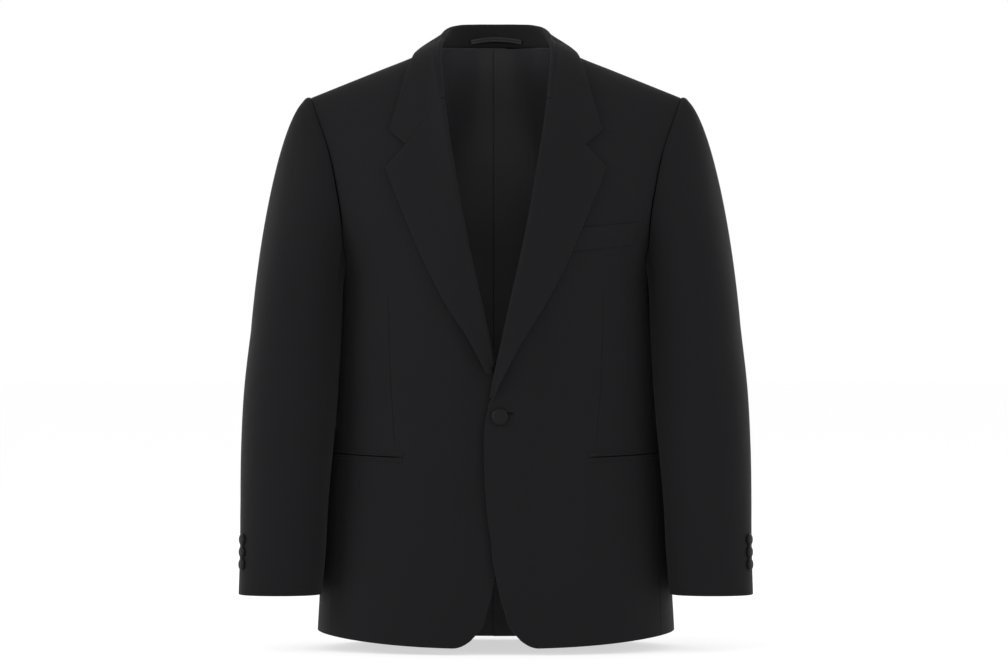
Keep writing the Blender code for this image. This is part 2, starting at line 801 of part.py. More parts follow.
def roll_start(z, lift):
    """Centre, normal, centreward direction and radius of the roll at a height."""
    p, n, inward = fold_frame(z, lift)
    radius = float(roll_radius(z))
    return p + n * (radius - LAPEL_CLOTH) + inward * SEAM_GAP, n, inward, radius


def lapel_grid(low_z, low_end, lift):
    """Upper side of a lapel from its low end up to the gorge seam, with its normals."""
    z_rows = low_z + (GORGE_Z - low_z) * np.linspace(0, 1, LAPEL_ROWS + 1)
    arc_share = np.linspace(0, 1, FOLD_COLUMNS + 1)
    arcs, arc_normals, ends = [], [], []
    for z in z_rows:
        centre, n, inward, radius = roll_start(z, lift)
        p, normals = roll_arc(centre, n, inward, radius, arc_share)
        arcs.append(p)
        arc_normals.append(normals)
        ends.append((p[-1][0], p[-1][2]))
    ends = np.array(ends)
    tip_z = LAPEL_EDGE[-1][0]
    edge_z = low_end[1] + (tip_z - low_end[1]) * np.linspace(0, 1, LAPEL_ROWS + 1)
    edge = np.stack([lapel_edge_x(edge_z), edge_z], axis=-1)
    edge[0] = low_end
    tip = (LAPEL_EDGE[-1][1], tip_z)
    top = leaf_line(ends[-1], NOTCH_INNER, tip, (GORGE_COLUMNS, POINT_COLUMNS))
    share = leaf_shares()
    bottom = ends[0] + (edge[0] - ends[0]) * share[:, None]
    t = np.linspace(0, 1, LAPEL_ROWS + 1)
    leaf = coons(ends, edge, bottom, top, share, t)
    height = leaf_height(share[None], roll_gap(z_rows)[:, None])
    p, n = over_front(leaf[..., 0], leaf[..., 1], height, lift)
    p = np.concatenate([np.array(arcs), p[:, 1:]], axis=1)
    return p, np.concatenate([np.array(arc_normals), n[:, 1:]], axis=1)


def add_lapel(side, name, low_z, low_end, lift):
    """Lapel with its roll, from the break up to the gorge."""
    p, n = lapel_grid(low_z, low_end, lift)
    p = inset(p, n)
    add_wall(f"lapel_{name}", p, -LAPEL_CLOTH * n, WOOL, side)


def seam_point(station):
    """Neck seam at a collar station: point, normal and direction from the panel to the collar."""

    def at(s):
        if s <= 1:
            x = NECK_EDGE[-1][1] * s
            z = neck_seam_z(x)
            return body_point(body_angle(x, z, behind=True), z)
        z = NECK_EDGE[-1][0] + (GORGE_Z - NECK_EDGE[-1][0]) * (s - 1)
        return body_point(body_angle(front_edge_x(z), z), z)

    step = 0.01
    along = at(min(station + step, GORGE_STATION)) - at(station - step)
    p = at(station)
    n = body_normal(p)
    return p, n, unit(np.cross(along, n))


stations = smooth(COLLAR_STATIONS)


def collar_roll(station):
    """Roll of the collar at a station: centre, outward direction, apex direction and radius."""
    end_centre, end_n, end_in, radius = roll_start(GORGE_Z, 0.0)
    if station >= GORGE_STATION:
        return end_centre, end_n, end_in, radius
    last_station = COLLAR_STATIONS[-1][0]
    found = stations(min(station, last_station))
    before = stations(min(station, last_station) - 0.02)
    fold, out = found[:3], found[6:9]
    along = unit(fold - before[:3])
    if station > last_station:
        end_fold = end_centre + end_in * radius
        share = (station - last_station) / (GORGE_STATION - last_station)
        along = unit(end_fold - fold)
        fold = fold + (end_fold - fold) * share
        out = unit(out) * (1 - share) + end_n * share
    out = unit(out - along * np.dot(out, along))
    apex = unit(np.cross(along, out))
    centre = fold - apex * radius
    low = (centre + out * radius)[None]
    short = LAPEL_CLOTH + COLLAR_LEAST_GAP - float(body_distance(low)[0])
    if station > COLLAR_LIES_FROM and short > 0:
        centre = centre + body_normal(low)[0] * short
    return centre, out, apex, radius


def collar_stand(station, centre, out, apex, radius):
    """Inside of the collar from the neck seam up the stand and round the roll."""
    seam, seam_n, beyond = seam_point(station)
    start = seam - seam_n * LAPEL_CLOTH + beyond * COLLAR_SEAM_GAP
    stand = centre - out * radius
    stand_run, arc_run = float(np.linalg.norm(stand - start)), math.pi * radius
    plain = stand_run * np.array([0, 0.5, 1])
    arc = np.linspace(0, 1, FOLD_COLUMNS - 1)[1:]
    plain = np.concatenate([plain, stand_run + arc_run * arc])
    even = np.linspace(0, stand_run + arc_run, FOLD_COLUMNS + 1)
    blend = ease(stand_run / COLLAR_STAND_BLEND)
    run = plain * blend + even * (1 - blend)
    rise = start + (stand - start) * (run / stand_run)[:, None]
    turned = roll_arc(centre, out, apex, radius, np.clip((run - stand_run) / arc_run, 0, 1))[0]
    return np.where((run < stand_run)[:, None], rise, turned)


def collar_leaf(station, low, out):
    """Leaf of the collar from the end of the roll to its edge, the notch at its own column."""
    share = leaf_shares()
    height = leaf_height(share, float(roll_gap(GORGE_Z)))
    if station >= GORGE_STATION:
        start = (float(low[0]), float(low[2]))
        flat = leaf_line(start, NOTCH_INNER, COLLAR_POINT, (GORGE_COLUMNS, POINT_COLUMNS))
        return over_front(flat[:, 0], flat[:, 1], height, 0.0)[0]
    last_station = COLLAR_STATIONS[-1][0]
    last = max(0.0, (station - last_station) / (GORGE_STATION - last_station))
    edge_height = LAPEL_CLOTH + LAPEL_EDGE_GAP
    tip = over_front(*[np.array(v) for v in COLLAR_POINT], edge_height, 0.0)[0]
    edge = stations(min(station, last_station))[3:6]
    edge = edge + (tip - edge) * last
    if station > COLLAR_LIES_FROM:
        edge = laid_on(edge[None], edge_height)[0]
    bulge = COLLAR_LEAF_BULGE * (4 * share * (1 - share))[:, None] * out * (1 - last)
    leaf = low + (edge - low) * share[:, None] + bulge
    over = pushed_out(leaf, LAPEL_CLOTH + COLLAR_LEAST_GAP)
    lie = ease((station - COLLAR_LIES_FROM) / COLLAR_LIES_OVER)
    return over * (1 - lie) + laid_on(leaf, height) * lie


def collar_row(station):
    """Visible side of the collar at a station, from the neck seam over the fold to the edge."""
    centre, out, apex, radius = collar_roll(station)
    inside = collar_stand(station, centre, out, apex, radius)
    leaf = collar_leaf(station, inside[-1], out)
    return np.concatenate([inside, leaf[1:]])


def add_collar():
    """Whole collar, mirrored about the centre back."""
    half = np.array([collar_row(s) for s in COLLAR_STEPS])
    whole = np.concatenate([half[:0:-1] * np.array([-1, 1, 1]), half])
    n = crossing(np.gradient(whole, axis=0), np.gradient(whole, axis=1))
    low_end = (LAPEL_EDGE[0][1], LAPEL_EDGE[0][0])
    ends = lapel_grid(LEFT_LAPEL_LOW_Z, low_end, 0.0)[1][-1]
    leaf = half[-1, FOLD_COLUMNS + 1 :]
    ends[FOLD_COLUMNS + 1 :] = body_normal(body_point(body_angle(leaf[:, 0], leaf[:, 2]), leaf[:, 2]))
    n[-1] = ends
    n[0] = ends * np.array([-1, 1, 1])
    depth = -LAPEL_CLOTH * n
    middle = len(COLLAR_STEPS) - 1
    for k, s in enumerate(COLLAR_STEPS[:-1]):
        seam_n = seam_point(s)[1]
        depth[middle + k, 0] = LAPEL_CLOTH * seam_n
        depth[middle - k, 0] = LAPEL_CLOTH * seam_n * np.array([-1, 1, 1])
    add_wall("collar", inset(whole, n), depth, WOOL)


# Breast pocket: lower edge and upper edge of the welt, from the inner end.
WELT_LOWER = ((0.0825, -0.2433), (0.1620, -0.2334))
WELT_UPPER = ((0.0925, -0.2147), (0.1719, -0.2066))
WELT_COLUMNS = 6
WELT_ROWS = 2

# Hip pocket: the slit runs round the side from here, and each jet is a strip along it.
SLIT_START = (0.1110, -0.4880)
SLIT_RISE = 0.0050
SLIT_LENGTH = 0.150
SLIT_MOST_TURN = 1.2
SLIT_HALF = 0.0004
JET_HEIGHT = 0.0058
JET_COLUMNS = 12
TRIM_LIFT = 0.0005


def add_welt():
    """Welt of the breast pocket, on the wearer's left."""
    across = np.linspace(0, 1, WELT_COLUMNS + 1)[:, None]
    low, high = np.array(WELT_LOWER), np.array(WELT_UPPER)
    low = low[0] + (low[1] - low[0]) * across
    high = high[0] + (high[1] - high[0]) * across
    up = np.linspace(0, 1, WELT_ROWS + 1)[:, None, None]
    flat = low * (1 - up) + high * up
    height = np.full(flat.shape[:2], TRIM_LIFT + TRIM_CLOTH)
    p, n = over_front(flat[..., 0], flat[..., 1], height, 0.0)
    add_wall("breast_welt", p, -TRIM_CLOTH * n, WOOL)


def slit_line():
    """Angles and heights along the hip pocket's slit, even on the body."""
    start = float(body_angle(*SLIT_START))
    angle = np.linspace(start, start + SLIT_MOST_TURN, PATH_STEPS)
    z = np.full_like(angle, SLIT_START[1])
    p = body_point(angle, z)
    run = np.concatenate([[0], np.cumsum(np.linalg.norm(np.diff(p, axis=0), axis=-1))])
    goal = np.linspace(0, SLIT_LENGTH, JET_COLUMNS + 1)
    rise = SLIT_RISE * goal / SLIT_LENGTH
    return np.interp(goal, run, angle), SLIT_START[1] + rise


def add_jets(side, name):
    """Upper and lower jets of one hip pocket."""
    angle, z = slit_line()
    for piece, sign in (("upper", 1), ("lower", -1)):
        away = sign * (SLIT_HALF + JET_HEIGHT * np.linspace(0, 1, 2))
        p = body_point(angle[None], z[None] + away[:, None])
        n = body_normal(p)
        p = p + n * (TRIM_LIFT + TRIM_CLOTH)
        add_wall(f"hip_jet_{piece}_{name}", p, -TRIM_CLOTH * n, WOOL, side)


# Covered buttons: share of the radius and of the height at each ring of the profile.
BUTTON_PROFILE = (
    # radius, height
    (0.84, 0.00),
    (1.00, 0.22),
    (0.94, 0.58),
    (0.73, 0.85),
    (0.40, 0.97),
)
FRONT_BUTTON = (0.0046, -0.4388)
FRONT_BUTTON_RADIUS = 0.0102
FRONT_BUTTON_HEIGHT = 0.0048
CUFF_BUTTON_RADIUS = 0.0071
CUFF_BUTTON_HEIGHT = 0.0036
CUFF_BUTTON_Z = (-0.5870, -0.6019, -0.6168)
CUFF_BUTTON_TURN = math.radians(27)
BUTTON_LIFT = 0.0005
FRONT_BUTTON_SIDES = 24
CUFF_BUTTON_SIDES = 12


def add_button(name, base, normal, radius, height, sides):
    """Domed, cloth-covered button on a surface."""
    across = unit(np.cross(normal, (0.0, 0.0, 1.0)))
    up = np.cross(across, normal)
    turn = 2 * math.pi * np.arange(sides) / sides
    vertices = [base]
    for wide, high in BUTTON_PROFILE:
        ring = np.outer(np.cos(turn), across) + np.outer(np.sin(turn), up)
        vertices += list(base + ring * radius * wide + normal * height * high)
    vertices.append(base + normal * height)
    faces = []
    for j in range(sides):
        k = (j + 1) % sides
        faces.append([0, 1 + j, 1 + k])
        for ring in range(len(BUTTON_PROFILE) - 1):
            a, b = 1 + ring * sides, 1 + (ring + 1) * sides
            faces.append([a + j, b + j, b + k, a + k])
        last = 1 + (len(BUTTON_PROFILE) - 1) * sides
        faces.append([last + j, len(vertices) - 1, last + k])
    add_mesh(name, vertices, faces, BUTTON_CLOTH)


def add_front_button():
    """Front button, on the left front over the overlap."""
    x, z = (np.array(v) for v in FRONT_BUTTON)
    p, n = over_front(x, z, BUTTON_LIFT, LAP_LIFT)
    sizes = (FRONT_BUTTON_RADIUS, FRONT_BUTTON_HEIGHT, FRONT_BUTTON_SIDES)
    add_button("front_button", p, n, *sizes)


def sleeve_place(turn, z):
    """Point and normal on the lower sleeve."""
    step = 1e-4
    at = np.array(z)
    p = ring_point(np.array(turn), at)
    around = ring_point(np.array(turn + step), at) - p
    down = ring_point(np.array(turn), at - step) - p
    return p, unit(np.cross(around, down))


def add_cuff_buttons(side, name):
    """Row of buttons up the outside of one cuff."""
    mirror = np.array([side, 1, 1])
    for k, z in enumerate(CUFF_BUTTON_Z):
        p, n = sleeve_place(CUFF_BUTTON_TURN, z)
        base = (p + n * BUTTON_LIFT) * mirror
        sizes = (CUFF_BUTTON_RADIUS, CUFF_BUTTON_HEIGHT, CUFF_BUTTON_SIDES)
        add_button(f"cuff_button_{name}_{k + 1}", base, n * mirror, *sizes)


# Back lining: its edges stop short of the back's, and its left half laps over at the centre.
LINING_HEM_RISE = 0.0100
LINING_TOP_DROP = 0.0015
LINING_SIDE_SHARE = 0.97
LINING_NECK_COLUMNS = 3
LINING_SHOULDER_COLUMNS = 5
PLEAT_UNDER_X = 0.0120
PLEAT_OVER_X = -0.0035
PLEAT_STEP = 0.0028
PLEAT_FADE_FROM = 0.016
PLEAT_FADE_TO = 0.060


def add_back_lining(side, name):
    """Half of the back's lining, with its share of the centre pleat."""
    over = side == 1
    right = np.concatenate([side_seam(True), armhole_half(True, ARM_ROWS)[1:]])
    right[:, 0] = math.pi + (right[:, 0] - math.pi) * LINING_SIDE_SHARE
    top = back_top(LINING_NECK_COLUMNS, LINING_SHOULDER_COLUMNS)
    top[:, 1] -= LINING_TOP_DROP
    right[-1, 1] -= LINING_TOP_DROP
    top[-1] = right[-1]
    right[0, 1] += LINING_HEM_RISE
    u, t = np.linspace(0, 1, len(top)), share_of(right[:, 1])
    low = hem_z(math.pi) + LINING_HEM_RISE
    z = low + (top[0, 1] - low) * t
    x = PLEAT_OVER_X if over else -PLEAT_UNDER_X
    left = np.stack([math.pi - body_angle(np.full_like(z, x), z), z], axis=-1)
    top[0] = left[-1]
    angle = left[0, 0] + (right[0, 0] - left[0, 0]) * u
    bottom = np.stack([angle, hem_z(angle) + LINING_HEM_RISE], axis=-1)
    pairs = coons(left, right, bottom, top, u, t)
    p = body_point(pairs[..., 0], pairs[..., 1])
    n = body_normal(p)
    near = 1 - ease((p[..., 0] - PLEAT_FADE_FROM) / (PLEAT_FADE_TO - PLEAT_FADE_FROM))
    inward = CLOTH + LINING_GAP + (PLEAT_STEP * near if over else 0.0 * near)
    p = p - n * inward[..., None]
    add_wall(f"back_lining_{name}", p, -LINING_CLOTH * n, LINING, side)


# Hanger loop on the inside of the collar's stand.
LOOP_HALF = 0.0320
LOOP_HEIGHT = 0.0060
LOOP_Z = 0.0190
LOOP_ARCH = 0.0040
LOOP_STAND_OFF = 0.0020
LOOP_COLUMNS = 12
LOOP_LIFT = 0.0008
LOOP_STATIONS = (0.0, 0.1, 0.2, 0.3, 0.4, 0.5)


def add_hanger_loop():
    """Narrow strip across the inside of the collar's stand, sewn at its ends."""
    middle = np.array([collar_row(s)[:3] for s in LOOP_STATIONS])
    x = np.linspace(-LOOP_HALF, LOOP_HALF, LOOP_COLUMNS + 1)
    bow = 1 - (x / LOOP_HALF) ** 2
    rows = []
    for k, high in enumerate((LOOP_Z - LOOP_HEIGHT / 2, LOOP_Z + LOOP_HEIGHT / 2)):
        z = high + LOOP_ARCH * bow
        y = np.empty_like(x)
        for j, (xj, zj) in enumerate(zip(np.abs(x), z)):
            column = np.array([np.interp(zj, row[:, 2], row[:, 1]) for row in middle])
            y[j] = np.interp(xj, middle[:, 1, 0], column)
        rows.append(point(x, y - LOOP_LIFT - LOOP_STAND_OFF * bow, z))
    p = np.array(rows)
    n = crossing(np.gradient(p, axis=0), np.gradient(p, axis=1))
    back = np.sign(n[..., 1:2]) * n
    add_wall("hanger_loop", p - back * TRIM_CLOTH, back * TRIM_CLOTH, LINING)


def main():
    """Builds every piece."""
    for old in list(bpy.data.objects):
        bpy.data.objects.remove(old, do_unlink=True)
    loop = armhole_loop()
    grid = sleeve_grid(loop)
    normals = ring_normals(grid)
    body_depths, sleeve_depths = armhole_depths(loop, body_normal(loop), normals[0])
    for side, name, lift in ((1, "left", LAP_LIFT), (-1, "right", -LAP_LIFT)):
        add_body(side, name, lift, body_depths)
        add_sleeve(side, name, grid, normals, sleeve_depths)
        add_jets(side, name)
        add_cuff_buttons(side, name)
        add_back_lining(side, name)
    low_left = (LAPEL_EDGE[0][1], LAPEL_EDGE[0][0])
    add_lapel(1, "left", LEFT_LAPEL_LOW_Z, low_left, LAP_LIFT)
    add_lapel(-1, "right", RIGHT_LAPEL_LOW_Z, RIGHT_LAPEL_LOW_END, -LAP_LIFT)
    add_collar()
    add_welt()
    add_front_button()
    add_hanger_loop()


main()
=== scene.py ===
import math

import bpy
import numpy as np
from mathutils import Matrix


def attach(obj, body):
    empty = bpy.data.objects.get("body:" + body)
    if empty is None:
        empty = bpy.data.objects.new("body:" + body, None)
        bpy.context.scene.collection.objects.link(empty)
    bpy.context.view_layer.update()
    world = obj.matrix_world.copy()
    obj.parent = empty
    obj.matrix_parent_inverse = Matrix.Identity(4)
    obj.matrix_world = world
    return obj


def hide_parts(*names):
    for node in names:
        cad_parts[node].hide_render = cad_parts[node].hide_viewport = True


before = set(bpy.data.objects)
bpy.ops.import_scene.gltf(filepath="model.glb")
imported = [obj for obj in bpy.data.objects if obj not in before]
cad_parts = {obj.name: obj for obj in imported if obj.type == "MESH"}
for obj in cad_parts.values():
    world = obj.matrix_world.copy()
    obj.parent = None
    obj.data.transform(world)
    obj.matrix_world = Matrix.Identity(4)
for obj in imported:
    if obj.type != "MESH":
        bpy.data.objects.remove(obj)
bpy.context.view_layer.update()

# Metres, +Z up. The front faces -Y and +X is the wearer's left. Each cloth piece is a fine wall
# over the same surfaces as its solid, with its seams, darts, edges and folds.

# Wall thicknesses and clearances.
CLOTH = 0.0020
LAPEL_CLOTH = 0.0024
LINING_CLOTH = 0.0010
TRIM_CLOTH = 0.0012
SEAM_GAP = 0.0003
LINING_GAP = 0.0027

# The body is a stack of rounded sections between the hem and the shoulder line.
SECTION_EXPONENT = 2.4
SECTION_ROUND = 2.0 / SECTION_EXPONENT
SHOULDER_FADE_LOW = -0.24
SHOULDER_FADE_HIGH = -0.06

# Half width of the section at each height, carried on past the armhole above the armpit.
BODY_WIDTHS = (
    # z, half_width
    (-0.760, 0.2190),
    (-0.700, 0.2178),
    (-0.660, 0.2155),
    (-0.600, 0.2110),
    (-0.550, 0.2075),
    (-0.500, 0.2035),
    (-0.440, 0.1985),
    (-0.380, 0.1940),
    (-0.335, 0.1905),
    (-0.300, 0.1880),
    (-0.270, 0.1890),
    (-0.240, 0.1980),
    (-0.200, 0.2200),
    (-0.150, 0.2430),
    (-0.100, 0.2650),
    (-0.050, 0.2860),
    (0.080, 0.3200),
)

# Where the section's widest point lies, front to back.
BODY_CENTRES = (
    # z, y
    (-0.760, 0.014),
    (-0.260, 0.014),
    (-0.180, 0.009),
    (-0.100, 0.003),
    (-0.050, 0.000),
    (0.080, 0.000),
)

# Distance of the cloth ahead of and behind that point, by the drop below the shoulder line.
BODY_DEPTHS = (
    # drop, front, back
    (0.000, 0.0000, 0.0000),
    (0.010, 0.0260, 0.0270),
    (0.030, 0.0460, 0.0480),
    (0.060, 0.0660, 0.0690),
    (0.100, 0.0890, 0.0890),
    (0.150, 0.1130, 0.1060),
    (0.200, 0.1300, 0.1160),
    (0.250, 0.1390, 0.1190),
    (0.300, 0.1420, 0.1150),
    (0.360, 0.1400, 0.1060),
    (0.430, 0.1370, 0.0980),
    (0.500, 0.1380, 0.1010),
    (0.580, 0.1420, 0.1100),
    (0.660, 0.1460, 0.1160),
    (0.760, 0.1490, 0.1190),
)

# The shoulder line, which rises towards the neck.
SHOULDER_TIP_X = 0.2257
SHOULDER_LINE = (
    # x, z
    (0.0000, 0.0660),
    (0.0250, 0.0600),
    (0.0450, 0.0420),
    (0.0600, 0.0220),
    (0.0720, 0.0110),
    (0.1000, -0.0022),
    (0.1400, -0.0182),
    (0.1800, -0.0342),
    (0.2257, -0.0525),
    (0.2600, -0.0662),
)

# Armhole seam from the armpit's shoulders up to the tip, then an oval dip under the arm.
ARMHOLE_FRONT = (
    # z, x
    (-0.236, 0.1842),
    (-0.203, 0.1860),
    (-0.165, 0.1919),
    (-0.120, 0.2018),
    (-0.081, 0.2153),
    (-0.0525, 0.2257),
)
ARMHOLE_BACK = (
    # z, x
    (-0.236, 0.1890),
    (-0.203, 0.1945),
    (-0.165, 0.2010),
    (-0.120, 0.2090),
    (-0.081, 0.2185),
    (-0.0525, 0.2257),
)
ARMHOLE_SHOULDER_Z = -0.236
ARMPIT_DIP = 0.041

# Side seams, as angles round the section from the front, at the hem and at the armhole.
FRONT_SEAM_DEGREES = (63.4, 71.0)
BACK_SEAM_DEGREES = (118.0, 108.0)

# Hem height at the side, and how much lower it hangs at the front and back.
HEM_SIDE_Z = -0.7010
HEM_FRONT_DROP = 0.0135
HEM_BACK_DROP = 0.0160

# Height of the neck seam at the centre back.
NECK_SEAM_Z = 0.0140

# Rolled edge of the lapel, seen from the front, from the break up to the gorge.
BREAK_LINE = (
    # z, x
    (-0.4180, -0.0078),
    (-0.3998, -0.0042),
    (-0.3808, -0.0002),
    (-0.3475, 0.0072),
    (-0.3238, 0.0122),
    (-0.2882, 0.0202),
    (-0.2525, 0.0282),
    (-0.2168, 0.0357),
    (-0.1808, 0.0424),
    (-0.1449, 0.0480),
    (-0.1086, 0.0540),
    (-0.0843, 0.0575),
    (-0.0596, 0.0612),
)

# Outer edge of the lapel, from the break up to its point.
LAPEL_EDGE = (
    # z, x
    (-0.4205, -0.0030),
    (-0.4004, 0.0045),
    (-0.3860, 0.0116),
    (-0.3433, 0.0340),
    (-0.3033, 0.0590),
    (-0.2425, 0.0895),
    (-0.1983, 0.1085),
    (-0.1589, 0.1248),
    (-0.1415, 0.1311),
)
LAPEL_POINT = LAPEL_EDGE[-1][::-1]
NOTCH_INNER = (0.1066, -0.1138)
COLLAR_POINT = (0.1266, -0.0965)

# Hollow of the lapel's roll, how far the collar's edge stands off, and where the lapels end.
ROLL_GAPS = (
    # z, gap
    (-0.4180, 0.0010),
    (-0.3950, 0.0016),
    (-0.3500, 0.0036),
    (-0.2800, 0.0040),
    (-0.1800, 0.0030),
    (-0.0596, 0.0024),
)
LAPEL_EDGE_GAP = 0.0022
LEFT_LAPEL_LOW_Z = -0.4170
RIGHT_LAPEL_LOW_Z = -0.3790
RIGHT_LAPEL_LOW_END = (0.0056, -0.3880)

# The left front laps over the right one at the centre.
LAP_LIFT = 0.0030
LAP_FADE_FROM = 0.015
LAP_FADE_TO = 0.055

# Front edge of the left front from the lower curve up to the break.
FRONT_EDGE = (
    # z, x
    (-0.7047, 0.0297),
    (-0.6926, 0.0190),
    (-0.6698, 0.0102),
    (-0.6349, 0.0012),
    (-0.6153, -0.0027),
    (-0.5850, -0.0059),
    (-0.5553, -0.0101),
    (-0.5256, -0.0125),
    (-0.4900, -0.0137),
    (-0.4544, -0.0133),
    (-0.4425, -0.0120),
    (-0.4295, -0.0090),
)
# The same edge over the break, below the lapel's low end.
BREAK_EDGE = (
    # z, x
    (-0.4240, -0.0085),
)

# Rounded lower corner of a front: where it starts and ends, and how much it lifts the hem.
CORNER_X = 0.0297
CORNER_END_X = 0.0522
CORNER_LIFT = 0.0098

# Neck edge of the front above the gorge.
NECK_EDGE = (
    # z, x
    (-0.0380, 0.0696),
    (-0.0120, 0.0724),
    (0.0110, 0.0720),
)
NECK_TOP_Z, NECK_TOP_X = NECK_EDGE[-1]

# Collar, from the centre back (0) past the shoulder seam (1) to the gorge (2).
COLLAR_STATIONS = (
    # station, fold x, fold y, fold z, edge x, edge y, edge z, out x, out y, out z
    (0.00, 0.0000, 0.0650, 0.0423, 0.0000, 0.0790, 0.0020, 0.00, 1.00, 0.05),
    (0.35, 0.0260, 0.0615, 0.0420, 0.0340, 0.0745, 0.0020, 0.30, 0.95, 0.05),
    (0.65, 0.0465, 0.0490, 0.0400, 0.0650, 0.0560, 0.0022, 0.70, 0.70, 0.05),
    (0.85, 0.0585, 0.0305, 0.0350, 0.0850, 0.0290, 0.0030, 0.93, 0.35, 0.05),
    (1.00, 0.0642, 0.0060, 0.0265, 0.0965, -0.0030, 0.0020, 1.00, 0.00, 0.05),
    (1.15, 0.0656, -0.0165, 0.0125, 0.1020, -0.0230, -0.0090, 0.97, -0.20, 0.15),
    (1.40, 0.0655, -0.0370, -0.0065, 0.1085, -0.0400, -0.0260, 0.85, -0.40, 0.30),
    (1.70, 0.0638, -0.0575, -0.0300, 0.1165, -0.0580, -0.0520, 0.50, -0.65, 0.45),
)
LAST_STATION = COLLAR_STATIONS[-1][0]
COLLAR_STEPS = np.concatenate([
    np.linspace(0, LAST_STATION, 78),
    np.linspace(1.715, 1.97, 16),
    [1.98, 1.988, 1.994, 1.998, 2.0],
])
COLLAR_SEAM_GAP = 0.0005
COLLAR_LEAF_BULGE = 0.0035
COLLAR_LEAST_GAP = 0.0012
COLLAR_STAND_BLEND = 0.010
COLLAR_BENDS_FROM = 1.85

# Collar stations: where it ends, and from where the leaf starts to lie on the shoulder.
GORGE_STATION = 2.0
COLLAR_LIES_FROM = 0.9
COLLAR_LIES_OVER = 0.9


def smooth(rows):
    """Smooth curve through the rows: the first column is the parameter, the others the values."""
    table = np.array(sorted(rows), float)
    knots, values = table[:, 0], table[:, 1:]
    span = np.diff(knots)
    chord = np.diff(values, axis=0) / span[:, None]
    slope = np.empty_like(values)
    slope[0], slope[-1] = chord[0], chord[-1]
    share = (span[1:] / (span[:-1] + span[1:]))[:, None]
    slope[1:-1] = chord[:-1] * share + chord[1:] * (1 - share)

    def at(parameter):
        q = np.clip(np.asarray(parameter, float), knots[0], knots[-1])
        i = np.clip(np.searchsorted(knots, q, side="right") - 1, 0, len(knots) - 2)
        h = span[i]
        t = ((q - knots[i]) / h)[..., None]
        h = h[..., None]
        found = (
            (2 * t**3 - 3 * t**2 + 1) * values[i]
            + (t**3 - 2 * t**2 + t) * h * slope[i]
            + (3 * t**2 - 2 * t**3) * values[i + 1]
            + (t**3 - t**2) * h * slope[i + 1]
        )
        return found[..., 0] if values.shape[1] == 1 else found

    return at


def ease(t):
    """0 to 1 with flat ends."""
    t = np.clip(t, 0.0, 1.0)
    return t * t * (3 - 2 * t)


def unit(v):
    """Vectors of length one."""
    return v / np.maximum(np.linalg.norm(v, axis=-1, keepdims=True), 1e-12)


def point(x, y, z):
    """Coordinates joined along the last axis."""
    return np.stack(np.broadcast_arrays(x, y, z), axis=-1)


def pair(a, b):
    """Two values joined along the last axis."""
    return np.stack([a, b], axis=-1)


def run_of(p, axis=0):
    """Distance along a line or a grid of points from its start."""
    gaps = np.linalg.norm(np.diff(p, axis=axis), axis=-1)
    first = np.zeros_like(np.take(gaps, [0], axis=axis))
    return np.cumsum(np.concatenate([first, gaps], axis=axis), axis=axis)


def cloth_uv(p):
    """Distances across and up a grid, as its texture coordinates."""
    return pair(run_of(p, axis=1), run_of(p, axis=0))


def read_at(places, run, pairs):
    """The pairs again at other places of their run."""
    return pair(np.interp(places, run, pairs[:, 0]), np.interp(places, run, pairs[:, 1]))


def share_of(values):
    """Values as a share of the way from the first to the last."""
    return (values - values[0]) / (values[-1] - values[0])


half_width = smooth(BODY_WIDTHS)
centre_y = smooth(BODY_CENTRES)
shoulder_z = smooth(SHOULDER_LINE)
depths = smooth([(math.sqrt(drop), front, back) for drop, front, back in BODY_DEPTHS])
front_armhole_x = smooth(ARMHOLE_FRONT)
back_armhole_x = smooth(ARMHOLE_BACK)
break_x = smooth(BREAK_LINE)


def shoulder_drop(x, z):
    """How far below the shoulder line a point lies, negative above it."""
    fade = ease((z - SHOULDER_FADE_LOW) / (SHOULDER_FADE_HIGH - SHOULDER_FADE_LOW))
    return shoulder_z(np.abs(x)) * fade - z


def body_depth(x, z, behind):
    """Distance of the cloth from the section's centre, before it rounds off at the side."""
    found = depths(np.sqrt(np.abs(shoulder_drop(x, z))))
    return np.where(behind, found[..., 1], found[..., 0])


def body_point(angle, z):
    """Point of the body's outer surface. The angle is 0 at the front and pi at the back."""
    angle, z = np.broadcast_arrays(np.asarray(angle, float), np.asarray(z, float))
    s, c = np.sin(angle), np.cos(angle)
    x = half_width(z) * np.sign(s) * np.abs(s) ** SECTION_ROUND
    depth = body_depth(x, z, c < 0) * np.abs(c) ** SECTION_ROUND
    return point(x, centre_y(z) - np.sign(c) * depth, z)


def on_body(pairs):
    """Points of the body's outer surface for (angle, z) pairs."""
    return body_point(pairs[..., 0], pairs[..., 1])


def body_angle(x, z, behind=False):
    """Angle round the section of the surface point at x."""
    share = np.clip(np.abs(x) / half_width(z), 0.0, 1.0)
    angle = np.sign(x) * np.arcsin(share ** (1 / SECTION_ROUND))
    return np.pi - angle if behind else angle


def body_level(p):
    """Zero on the body's surface and positive outside it."""
    x, y, z = p[..., 0], p[..., 1], p[..., 2]
    away = y - centre_y(z)
    rest = 1 - np.abs(x / half_width(z)) ** SECTION_EXPONENT
    rounding = np.sign(rest) * np.abs(rest) ** SECTION_ROUND
    reach = np.sign(shoulder_drop(x, z)) * body_depth(x, z, away > 0) ** 2
    return away**2 - np.where(rest < 0, np.abs(reach), reach) * rounding


def level_slope(p):
    """How the level changes along each axis."""
    step = 2e-5
    slopes = [
        body_level(p + step * axis) - body_level(p - step * axis) for axis in np.eye(3)
    ]
    return np.stack(slopes, axis=-1) / (2 * step)


def body_normal(p):
    """Outward direction of the body's surface."""
    return unit(level_slope(p))


def body_distance(p):
    """Distance of points from the body's surface, positive outside."""
    return body_level(p) / np.maximum(np.linalg.norm(level_slope(p), axis=-1), 1e-9)


